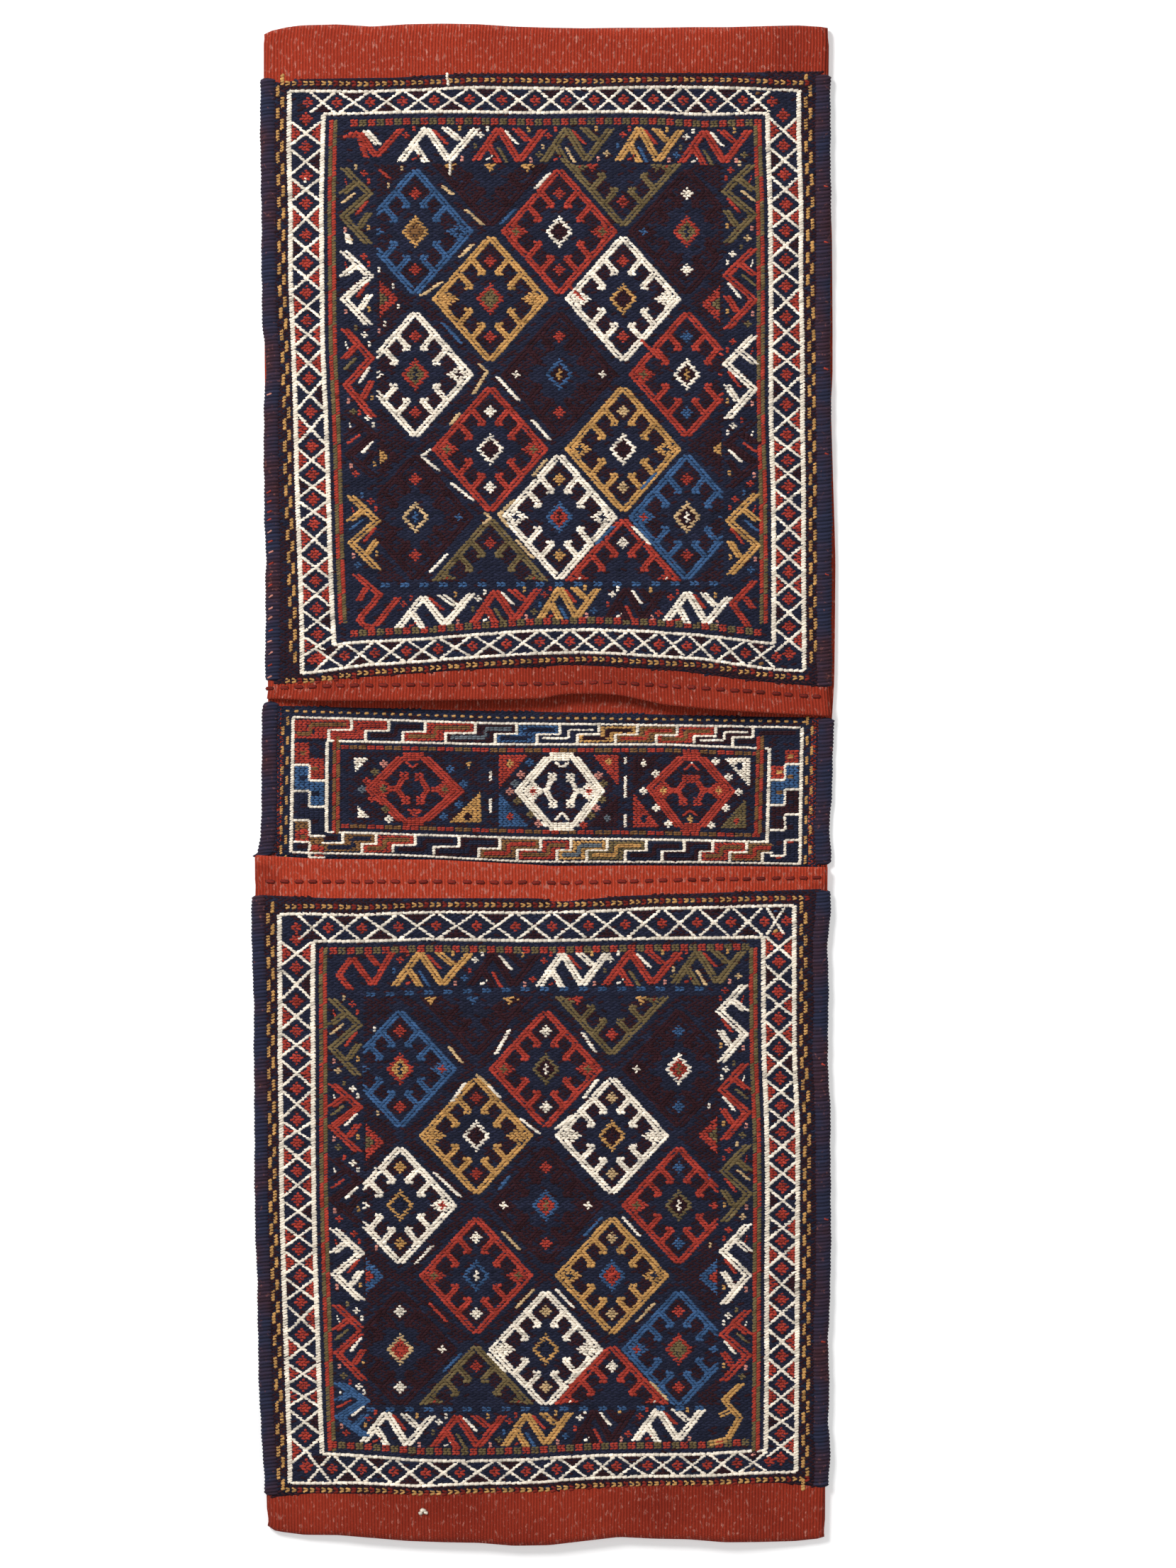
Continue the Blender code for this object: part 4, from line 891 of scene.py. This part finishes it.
def redAndOlive(weave, name, data):  # the narrow stripe inside the lattice
    weave.start(name + "_red_and_olive_stripe")
    for edge, side in ((data["innerLeft"], 1), (data["innerRight"], -1)):
        y, high, turn = float(data["innerBottom"](0)) + 6, float(data["innerTop"](0)) - 6, 0
        while y < high:
            step = min(25.5 + 5 * np.sin(turn * 2.1), high - y)
            for k, offset in enumerate((7, 10.5)):
                ends = np.array([y, y + step])
                wool = ("red", "olive")[(turn + k) % 2]
                weave.line(list(zip(edge(ends) + side * offset, ends)), 3.5, wool)
            y, turn = y + step, turn + 1
    for edge, side in ((data["innerTop"], -1), (data["innerBottom"], 1)):
        runs = np.arange(float(data["innerLeft"](0)) + 13.5, float(data["innerRight"](0)) - 13.5, 7.5)
        for k, x in enumerate(runs):
            y = float(edge(x)) + side * 8
            weave.box(x, x + 6.5, y - 3, y + 3, ("red", "olive")[k % 2])


def hookedBand(weave, name, data):  # the dark band's figures, its corners and the dotted rows inside it
    weave.start(name + "_hooked_band_figures")
    for side, figures in data["figures"].items():
        edge, reach = data["inner" + side.capitalize()], data["bands"][side]
        for wool, s0, s1 in figures:
            hookedFigure(weave, wool, lambda s, t: figurePlace(side, s0, s1, edge, reach, s, t))
    for wool, points in data["corners"]:
        weave.line(points, 5.5, wool)
    for row in data["dottedRows"]:
        for x in np.arange(data["field"][0] + 2, data["field"][1] - 4, 16.5):
            weave.block((x + 4.5, float(row(x))), 4, 2, "blue")


def diamondField(weave, name, data):  # the hooked diamonds row by row, then the dashes and marks in their lanes
    halfX, halfY = data["diamondHalf"]
    for (r, c), words in data["diamonds"].items():
        cx, cy = data["columns"][c], data["rows"][r]
        weave.start("%s_hooked_diamond_row%d_column%d" % (name, r + 1, c + 1), data["field"])
        hookedDiamond(weave, cx, cy, halfX, halfY, words)
        if r == 0:
            for wool, x, y in data["topTriangles"]:
                if abs(x - cx) < halfX:
                    weave.fill([(x - 6, y), (x + 6, y), (x, y - 7.5)], wool)
        if r in (2, 4):
            for wool, middle, (x, y), side in data["edgeTriangles"]:
                if abs(y - cy) < 10 and (side > 0) == (c == 1):
                    weave.fill([(x, y - 16), (x, y + 16), (x + side * 16.5, y)], wool)
                    weave.fill([(x, y - 6.5), (x, y + 6.5), (x + side * 8, y)], middle, 1.1)
    weave.start(name + "_lane_dashes")
    turn = 0
    for r, c in data["diamonds"]:
        for side in (-1, 1):
            if (r + 1, c + side) in data["diamonds"] and r >= data["ruledFrom"]:
                slip = (-1, 0, 1)[turn % 3] * 12
                x = (data["columns"][c] + data["columns"][c + side]) / 2 + slip
                y = (data["rows"][r] + data["rows"][r + 1]) / 2 + side * slip
                wool = ("ivory", "tan", "blue", "ivory", "red", "tan")[turn % 6]
                weave.line([(x - 7.5, y - side * 8), (x + 7.5, y + side * 8)], 3, wool)
                turn += 1
    for wool, lines in data["dashes"].items():
        for points in lines:
            weave.line(points, 3.5, wool)
    for wool, x, y in data["marks"]:
        weave.dot((x, y), 2.5, 2.5, wool)


def makeFace(name):
    data = faceData[name]
    weave = Weave(name, faceHeight)
    x0, x1, y0, y1 = data["field"]
    halfX, halfY = data["diamondHalf"]
    centres = [(data["columns"][c], data["rows"][r]) for r, c in data["diamonds"]]

    def zone(x, y):  # navy by the outlines, aubergine in the lanes and the guard, and a few odd stitches
        nearest = np.min([np.abs(x - cx) / halfX + np.abs(y - cy) / halfY for cx, cy in centres], axis=0)
        field = (x > x0) & (x < x1) & (y > y0) & (y < y1)
        guard = ((x < data["outerLeft"](y)) | (x > data["outerRight"](y)) | (y > data["outerTop"](x))
                 | (y < data["outerBottom"](x)))
        red = guard | (field & (nearest > 1.13)) | (field & (nearest < 0.85) & (nearest > 0.55))
        odd = chance.uniform(size=x.shape) < 0.08
        return np.where(red ^ odd, woolNames.index("aubergine"), woolNames.index("navy"))

    ground = name + "_dark_ground"
    layGround(weave, ground, data, zone)
    for part in (guardAndLattice, redAndOlive, hookedBand, diamondField):
        part(weave, name, data)
    nodes, slots = {}, {ground: "dark_wool", "other": "dark_wool"}
    for piece, node, slot in (("gold_guard_stitches", "gold_guard", "gold_wool"),
                              ("ivory_lattice_stitches", "ivory_lattice", "ivory_wool"),
                              ("red_and_olive_stripe", "red_stripe", "red_wool"),
                              ("hooked_band_figures", "hooked_band", "dark_wool")):
        nodes[name + "_" + piece], slots[name + "_" + piece] = [name + "_" + node], slot
    for (r, c), words in data["diamonds"].items():
        piece = "%s_hooked_diamond_row%d_column%d" % (name, r + 1, c + 1)
        nodes[piece] = [piece.replace("hooked_", "")]
        slots[piece] = words.split()[0] + "_wool"
    weave.finish({ground: underlay(data, faceHeight)}, slots, nodes)

    hem = Weave(name + " lip", lambda x, y: faceHeight(x, y) + 0.7)
    hem.start(name + "_lip_running_stitches")
    for x in np.arange(-236, 236, 12):
        x = x + chance.uniform(-1, 1)
        hem.line([(x, float(data["lip"](x))), (x + 6, float(data["lip"](x + 6)) - 0.8)], 2.4, "madder")
    hem.finish({}, {"other": "dark_wool"}, {name + "_lip_running_stitches": [name + "_lip_stitches"]})


bridge = {
    "groundLeft": shifted(outline["left"], 6.5), "groundRight": shifted(outline["right"], -7.5),
    "top": byWidth("-239,68.5 -222,67.5 -40,63 -3.5,62.5 69,61 142,59 232.5,57.5"),
    "bottom": byWidth("-239,-65 -185.5,-66 -88.5,-67.5 -3.5,-71 142,-72 245,-72.5"),
    "outerTop": byWidth("-214.5,58 -40,52.5 69,51.5 222,49"),
    "innerTop": byWidth("-185,37.5 -40,34.5 102.5,34.5 192,31"),
    "innerBottom": byWidth("-185,-40.5 -40,-45 -3.5,-46 69,-46.5 190.5,-49"),
    "outerBottom": byWidth("-216,-58 -117.5,-60.5 -16,-66 142,-66.5 220.5,-68"),
    "outerLeft": byHeight("-214,59 -216,-58"), "innerLeft": byHeight("-185,37.5 -185.5,-40.5"),
    "innerRight": byHeight("194.5,42.5 192,-48"), "outerRight": byHeight("222,48.5 220,-67.5"),
    "topSteps": (
        [-183.5, -152, -120, -83.5, -41, -5, 29.5, 62, 97, 129.5, 162.5, 192],
        [-164, -132, -101, -58, -22.5, 14.5, 48, 81, 115, 148, 180]),
    "topWools": (
        "red/brown red/red navy/aubergine red/brown aubergine/slate blue/navy navy/ivory gold/aubergine "
        "brown/red red/brown aubergine/ivory navy/aubergine"),
    "bottomSteps": (
        [-189, -155, -128.5, -93.5, -55, -22, 12, 37.5, 70.5, 102, 134.5, 160, 188],
        [-171.5, -143, -109.5, -72, -37, -2, 24, 55, 88.5, 121, 145.5, 174.5, 206.5]),
    "bottomWools": (
        "navy/aubergine brown/navy red/brown navy/aubergine aubergine/navy brown/red red/brown "
        "gold/slate olive/gold navy/aubergine aubergine/navy red/brown brown/red navy/navy"),
    "leftSteps": [42.5, 17, -5.5, -30.5, -49],
    "leftWools": "red/brown blue/navy navy/aubergine brown/red red/brown",
    "rightSteps": [36.5, 17.5, -4, -25.5, -47.5],
    "rightWools": "red/gold blue/brown aubergine/navy navy/aubergine brown/red",
    "dividers": [(-45, [11.5, 3.5, -12, -24]), (70.5, [23.5, 18, 7.5, -11.5, -25.5, -36.5])],
    "medallions": [
        {
            "wool": "red", "tips": path("-148,-3.5 -120,24 -102,24 -72,-5.5 -102,-31.5 -120,-31.5"),
            "eyes": ("olive", path("-137,-3.5 -84,-4")),
            "forks": paths(
                "-132,-3.5 -125,-3.5 -119,7.5; -125,-3.5 -117.5,-13.5; -89,-4 -99,-4 -106,6.5; -99,-4 "
                "-105,-13.5"),
            "strokes": woolPaths("red -117.5,19.5 -111.5,14.5 -107.5,18"),
            "areas": woolPaths(
                "red -117,-21 -102.5,-21 -109.5,-29.5; ivory -162.5,23 -149,23 -161,10.5; ivory "
                "-159,-17.5 -148,-28.5 -159,-28.5; gold -66.5,19.5 -60.5,19.5 -63.5,13.5; gold -53.5,-6 "
                "-52.5,-32.5 -80,-32; aubergine -68.5,-27.5 -64,-23.5 -60,-27.5 -64,-31"),
            "dots": woolPlaces(
                "olive -144,11; pink -136.5,18; olive -135,-21; red -151,3; red -146.5,-12; slate "
                "-155,-4; ivory -132,-29.5; blue -79.5,13.5; blue -68,0.5; blue -72,-17; blue -85,-27.5")},
        {
            "wool": "ivory", "tips": path("-20,-5.5 5.5,24 26.5,24 49,-5.5 26.5,-36 5.5,-36"),
            "eyes": ("red", path("-8.5,-5.5 39.5,-5.5")),
            "forks": paths(
                "-3.5,-5.5 3,-5.5 8,6.5; 3,-5.5 8.5,-16.5; 35,-5.5 28.5,-5.5 23.5,6; 28.5,-5.5 "
                "23.5,-16.5"),
            "strokes": woolPaths("ivory 10.5,19.5 16.5,14.5 22,19.5; ivory 10.5,-30.5 16.5,-24 22,-30.5"),
            "areas": woolPaths(
                "red -38,25.5 -12.5,25.5 -38,-3.5; gold -32.5,18 -28.5,22 -23.5,18 -28.5,14; red "
                "42.5,25.5 65,25.5 65,-2; gold 52,19.5 56.5,23 60.5,19.5 56.5,16; blue -38,-6.5 -12,-36 "
                "-38,-36; red -32,-27.5 -28.5,-23.5 -24,-27.5 -28.5,-31; aubergine 64,-10.5 64,-36 "
                "37.5,-36; slate 51,-28.5 55,-25 59.5,-28.5 55,-32"),
            "dots": woolPlaces(
                "blue -11.5,19; pink -19,8.5; slate -24,1; pink -28.5,-6; olive -22,-14; olive "
                "-10.5,-25.5; pink -4,-33.5; pink 47.5,8; olive 52,1; olive 50.5,-12.5; pink 45.5,-20; "
                "olive 41,-26.5; red 34.5,-34.5")},
        {
            "wool": "red", "tips": path("92.5,-3 120,24 135,24 160.5,-5.5 135,-36.5 117.5,-36.5"),
            "eyes": ("gold", path("103,-5 150.5,-5")),
            "forks": paths(
                "108,-5 116,-5 123,5; 116,-5 120,-14.5; 145.5,-5 137.5,-5 130.5,5; 137.5,-5 132.5,-14.5"),
            "strokes": woolPaths("red 121,12.5 127.5,18 133.5,12.5; red 120,-26.5 126,-22 132,-26.5"),
            "areas": woolPaths(
                "ivory 122.5,23.5 132.5,23.5 127.5,17.5; gold 122.5,-29.5 126,-26 129.5,-29.5 126,-33.5; "
                "aubergine 77,24 99.5,24 77,-0.5; ivory 82.5,18 86,22 89.5,18 86,14.5; ivory 155,23 "
                "178,23 177.5,-3; navy 165,16 168,19 171.5,16 168,12; olive 174,-11 174.5,-37.5 152,-37; "
                "red 162,-31 165.5,-27.5 169,-31 165.5,-34.5; red 77,-6.5 100,-36.5 77,-36.5; navy "
                "82.5,-29 86,-25.5 90.5,-29 86,-32.5"),
            "dots": woolPlaces(
                "ivory 96.5,9.5; ivory 86,-5.5; ivory 97,-20; ivory 107.5,-33.5; ivory 148,20; ivory "
                "159,6.5; ivory 167.5,-6.5; ivory 156.5,-20; ivory 144,-34.5")}]}


def steppedEnd(weave, outer, inner, lower, upper, wools):
    # a border along the bridge: blocks of two wools, parted by ivory steps that climb halfway, run aside and
    # climb on
    first, last = float(bridge["outerLeft"](0)), float(bridge["outerRight"](0))
    starts, ups = [first, *lower, last], [first, *upper, last]
    for k, words in enumerate(wools.split()[:len(starts) - 1]):
        main, accent = words.split("/")
        a, b = starts[k], starts[k + 1]
        c, d = ups[min(k, len(ups) - 2)], ups[min(k + 1, len(ups) - 1)]
        yo, yi = float(outer((a + b) / 2)), float(inner((a + b) / 2))
        ym, pad = (yo + yi) / 2, (yi - yo) * 0.10
        weave.box(a + 1.5, b - 1.5, yi - pad, ym, main)
        weave.box(c + 1.5, d - 1.5, ym, yo + pad, main)
        climb, lowLine, highLine = (min(b, d) + max(a, c)) / 2, (yi - pad + ym) / 2, (ym + (yo + pad)) / 2
        weave.line([(a + 4, lowLine), (climb, lowLine), (climb, highLine), (d - 4, highLine)],
                   2.2 if accent == "ivory" else 3.4, accent, 1.05)
        if k:
            weave.line([(a, yi - pad * 0.4), (a, ym)], 2.6, "ivory", 1.2)
            weave.line([(c, ym), (c, yo + pad * 0.4)], 2.6, "ivory", 1.2)
            weave.line([(min(a, c) - 1, ym), (max(a, c) + 1, ym)], 2.3, "ivory", 1.2)


def steppedSide(weave, outer, inner, steps, wools):  # the same border up the two short sides
    xo, xi = float(outer(0)), float(inner(0))
    places = [float(bridge["innerTop"](xo)), *steps[1:], float(bridge["innerBottom"](xo))]
    xm, pad, drop = (xo + xi) / 2, (xi - xo) * 0.08, 13.5
    for k, words in enumerate(wools.split()[:len(places) - 1]):
        main, accent = words.split("/")
        a, b = places[k], places[k + 1]
        weave.box(xo + pad, xm, b + 1.3, a - 1.3, main)
        weave.box(xm, xi - pad, b - drop + 1.3, a - drop - 1.3, main)
        weave.line([(xo + pad * 3, (a + b) / 2), (xm - pad, (a + b) / 2)], 4.0, accent, 1.05)
        weave.line([(xm + pad, (a + b) / 2 - drop), (xi - pad * 3, (a + b) / 2 - drop)], 4.0, accent, 1.05)
        if k:
            weave.line([(xo + pad * 0.5, a), (xm, a)], 2.3, "ivory", 1.2)
            weave.line([(xm, a), (xm, a - drop)], 2.6, "ivory", 1.2)
            weave.line([(xm, a - drop), (xi - pad * 0.5, a - drop)], 2.3, "ivory", 1.2)


def borderStitches(weave):  # the gold guard, the stepped borders and their ivory edges, then the inner guard
    weave.start("bridge_gold_guard_stitches")
    for side, edge in ((-1, bridge["outerLeft"]), (1, bridge["outerRight"])):
        runs = np.arange(float(bridge["outerBottom"](0)) - 2, float(bridge["outerTop"](0)), 8.5)
        for k, y in enumerate(runs):
            x = float(edge(y)) + side * (8.6 if k % 2 else 4.6)
            weave.line([(x, y), (x, y + 7.5)], 2.5, "gold")
    for x in np.arange(-220.5, 226.5, 7.5):
        y = float(bridge["outerTop"](x)) + 5
        weave.line([(x, y), (x + 3.5, y)], 2.4, "gold")
    weave.start("bridge_stepped_border_stitches")
    steppedEnd(weave, bridge["outerTop"], bridge["innerTop"], *bridge["topSteps"], bridge["topWools"])
    steppedEnd(weave, bridge["innerBottom"], bridge["outerBottom"], *bridge["bottomSteps"], bridge["bottomWools"])
    steppedSide(weave, bridge["outerLeft"], bridge["innerLeft"], bridge["leftSteps"], bridge["leftWools"])
    steppedSide(weave, bridge["outerRight"], bridge["innerRight"], bridge["rightSteps"], bridge["rightWools"])
    for key in ("outerTop", "innerTop", "innerBottom", "outerBottom"):
        xs = np.linspace(float(bridge[key[:5] + "Left"](0)), float(bridge[key[:5] + "Right"](0)), 40)
        weave.line(list(zip(xs, bridge[key](xs))), 2.3, "ivory", 1.2)
    for key in ("outerLeft", "innerLeft", "innerRight", "outerRight"):
        x = bridge[key](0)
        ys = np.linspace(float(bridge[key[:5] + "Bottom"](x)), float(bridge[key[:5] + "Top"](x)), 12)
        weave.line(list(zip(bridge[key](ys), ys)), 3.0, "ivory", 1.2)
    for k, x in enumerate(np.arange(-180.5, 186.5, 7.5)):
        for edge, step in ((bridge["innerTop"], -5), (bridge["innerBottom"], 5.5)):
            y = float(edge(x)) + step
            weave.line([(x, y), (x + 6.5, y)], 3.6, ("red", "brown")[k // 2 % 2])
    for edge, side in ((bridge["innerLeft"], 1), (bridge["innerRight"], -1)):
        for k, y in enumerate(np.arange(-42, 31, 12)):
            x = float(edge(y)) + side * 8
            for j, offset in enumerate((-1.7, 1.7)):
                weave.line([(x + offset, y), (x + offset, y + 11.5)], 3.2, ("red", "brown")[(k + j) % 2])
    for x, ys in bridge["dividers"]:
        for top, bottom in zip(ys[::2], ys[1::2]):
            weave.line([(x, bottom), (x, top)], 2.6, "ivory")


def medallionStitches(weave, parts):  # fields of wool, the ring with its eyes and forks, then strokes and dots
    for wool, points in parts["areas"]:
        weave.fill(points, wool)
    weave.line(parts["tips"] + parts["tips"][:1], 7.5, parts["wool"])
    eyeWool, eyes = parts["eyes"]
    for eye in eyes:
        weave.dot(eye, 9.5, 9, parts["wool"])
        weave.dot(eye, 4, 4, eyeWool, 1.1)
    for points in parts["forks"]:
        weave.line(points, 5, parts["wool"])
        weave.block(points[-1], 4, 3.5, parts["wool"])
    for wool, points in parts["strokes"]:
        weave.line(points, 2.5, wool)
    for wool, x, y in parts["dots"]:
        weave.dot((x, y), 5, 3.5, wool)


def makeBridge():
    weave = Weave("bridge", backHeight, 2.0, 3.7)

    def zone(x, y):  # more aubergine round the medallions than outside them
        inner = (x > -167.5) & (x < 178) & (y < 27.5) & (y > -37)
        odd = chance.uniform(size=x.shape) < np.where(inner, 0.55, 0.2)
        return np.where(odd, woolNames.index("aubergine"), woolNames.index("navy"))

    layGround(weave, "bridge_dark_ground", bridge, zone)
    borderStitches(weave)
    nodes = {"bridge_gold_guard_stitches": ["bridge_gold_guard"],
             "bridge_stepped_border_stitches": ["bridge_stepped_border"]}
    slots = {"bridge_gold_guard_stitches": "gold_wool", "bridge_stepped_border_stitches": "ivory_wool",
             "bridge_dark_ground": "dark_wool", "other": "red_wool"}
    for k, parts in enumerate(bridge["medallions"]):
        piece = "bridge_medallion_%d_stitches" % (k + 1)
        nodes[piece] = ["bridge_medallion_%d" % (k + 1)]
        weave.start(piece)
        medallionStitches(weave, parts)
    weave.finish({"bridge_dark_ground": underlay(bridge, backHeight, 49, 17)}, slots, nodes)


binding = {"step": 0.62, "around": 16, "pitch": 3.1, "ridge": 0.95, "square": 0.85}
bindingRuns = [  # name, which edge, from, to, half width, lowest and highest
    ("upper_binding_left", "left", 605.5, 88, 6.6, 1.1, 10.0),
    ("upper_binding_right", "right", 608.5, 83, 6.8, 1.1, 10.0),
    ("bridge_binding_left", "left", 71.5, -63, 6.4, 1.1, 6.4),
    ("bridge_binding_right", "right", 57.5, -69, 6.4, 1.1, 6.4),
    ("lower_binding_left", "left", -94, -609, 6.0, 1.1, 10.0),
    ("lower_binding_right", "right", -89.5, -602, 6.8, 1.1, 10.0)]


def makeBinding(name, side, top, bottom, halfWidth, low, high):
    # an oval tube along the edge; its radius swells with each slanting wrap and rounds off at both ends
    around, square = binding["around"], binding["square"]
    rows = int(abs(top - bottom) / binding["step"])
    y = np.linspace(top, bottom, rows)[:, None]
    angle = np.linspace(0, 2 * np.pi, around, endpoint=False)
    cosine, sine = np.cos(angle), np.sin(angle)
    sign = 1 if side == "left" else -1
    run = (top - y) / binding["pitch"] + 0.35 * np.sin(y / 41) + 0.55 * sign * sine * 0.6 + 0.25 * cosine
    wrap = np.abs(np.sin(np.pi * run))
    end = np.sqrt(np.clip(np.minimum(top - y, y - bottom) / 2.5 + 0.04, 0, 1))
    swell = (1 + 0.05 * np.sin(y / 13) * np.sin(y / 5.3)) * end
    outX, outZ = (np.sign(t) * np.abs(t) ** square * (half - 0.3) + t * wrap * binding["ridge"]
                  for t, half in ((cosine, halfWidth), (sine, (high - low) / 2)))
    x = outline[side](y) + sign * (halfWidth - 0.8) + outX * swell
    z = (low + high) / 2 + outZ * swell
    points = np.stack([x, np.broadcast_to(y, x.shape), z], axis=-1).reshape(-1, 3)
    faces = [gridFaces(rows, around, True), np.arange(around)[None, ::-1],
             (np.arange(around) + (rows - 1) * around)[None]]
    places = np.stack(np.broadcast_arrays(angle * 6, top - y), axis=-1).reshape(-1, 2)
    # the shades are lighter on each wrap's ridge and darker between wraps: painted highlight and shade; the sine
    # of the wrap number gives each wrap its own tone
    shades = (wrap - 0.55) * 1.1 + 0.25 * np.sin(np.floor(run) * 2.4)
    shape = Shape()
    shape.add(points, places, shades.ravel(), faces, [0, 0, 0])
    shape.finish(name + "_wraps", [bindingWool], "binding_wool", [name])


def bindingTop(x, y):  # the upper side of the oval bindings along the pouches
    edge = np.where(np.abs(x - outline["left"](y)) < 20, outline["left"](y) + 5.8, outline["right"](y) - 6.0)
    return 5.2 + 4.9 * np.sqrt(np.clip(1 - ((x - edge) / 6.9) ** 2, 0.02, 1))


repairs = {
    "left": [334, 250.5, 242, 233.5, 226.5, 216.5, 208, 199, 189, 179, 170.5, 161, 151, 142.5, 132, 122.5, 112.5,
             102.5, 92],
    "right": [512, 464, 356, 283, 180, -239.5, -371.5, -476.5],
    "threads": [("-82,608 -81,597.5", 1.7), ("-79,532.5 -79.5,520.5", 1.7),
                ("-105.5,-623.5 -102.5,-619 -99.5,-623", 2.2)]}


def addRepairs():  # odd stitches of pale and red wool along the bound edges, and stray threads on the faces
    weave = Weave("repairs", bindingTop)
    weave.start("edge_repair_stitches")
    for y in repairs["left"]:
        x = float(outline["left"](y)) + 2.6 + chance.uniform(-0.5, 0.7)
        wool = ("pink", "red")[int(chance.uniform() < 0.45)]
        weave.line([(x - 1.6, y - 0.8), (x + 2.4, y + 0.8)], 1.8, wool, 1.1)
    for y in repairs["right"]:
        x = float(outline["right"](y)) - 3.0
        weave.line([(x - 1.8, y + 0.6), (x + 1.6, y - 0.8)], 1.8, "red", 1.1)
    weave.finish({}, {"other": "red_wool"}, {})
    threads = Weave("threads", lambda x, y: faceHeight(x, y) + 1.1)
    threads.start("stray_threads")
    for places, width in repairs["threads"]:
        threads.line(path(places), width, "ivory")
    threads.finish({}, {"other": "ivory_wool"}, {})


def addFloor():  # a wide white table under the bag
    reach, thick = 12000.0, 20.0
    corners = ((-1, -1), (1, -1), (1, 1), (-1, 1))
    points = np.array([[x * reach, y * reach, z] for z in (0.0, -thick) for x, y in corners])
    faces = np.array([[0, 1, 2, 3], [7, 6, 5, 4], [0, 4, 5, 1], [1, 5, 6, 2], [2, 6, 7, 3], [3, 7, 4, 0]])
    if signedVolume(points, [faces]) < 0:
        faces = faces[:, ::-1]
    mesh = bpy.data.meshes.new("table")
    mesh.from_pydata((points * mm).tolist(), [], faces.tolist())
    mesh.materials.append(floorPaint())
    floor = bpy.data.objects.new("table", mesh)
    bpy.context.scene.collection.objects.link(floor)


def addLight(name, place, size, power):
    lamp = bpy.data.lights.new(name, "AREA")
    lamp.shape, lamp.size, lamp.energy = "DISK", size, power
    light = bpy.data.objects.new(name, lamp)
    light.location = place
    light.rotation_mode = "QUATERNION"
    light.rotation_quaternion = (-Vector(place)).to_track_quat("-Z", "Y")
    bpy.context.scene.collection.objects.link(light)


stage = {"world": 0.36, "key": 230.0, "fill": 45.0, "frameHeight": 2212 / 1650, "distance": 4.0, "sensor": 36.0,
         "cameraX": 0.0385, "cameraY": 0.0006, "clothTop": 0.012}


def addStage():
    addFloor()
    world = bpy.data.worlds.new("studio")
    world.use_nodes = True
    sky = world.node_tree.nodes["Background"].inputs
    sky["Color"].default_value, sky["Strength"].default_value = (1, 1, 1, 1), stage["world"]
    bpy.context.scene.world = world
    addLight("key", (-2.2, 2.6, 3.2), 1.6, stage["key"])
    addLight("fill", (2.8, -1.6, 3.4), 2.4, stage["fill"])
    lens = bpy.data.cameras.new("camera")
    lens.sensor_fit, lens.sensor_width = "AUTO", stage["sensor"]
    lens.lens = stage["sensor"] * (stage["distance"] - stage["clothTop"]) / stage["frameHeight"]
    camera = bpy.data.objects.new("camera", lens)
    camera.location = (stage["cameraX"], stage["cameraY"], stage["distance"])
    bpy.context.scene.collection.objects.link(camera)
    bpy.context.scene.camera = camera
    bpy.context.scene.view_settings.view_transform = "Standard"


addStage()
makeCloth()
for face in faceData:
    makeFace(face)
makeBridge()
for run in bindingRuns:
    makeBinding(*run)
addRepairs()
print("pieces made")
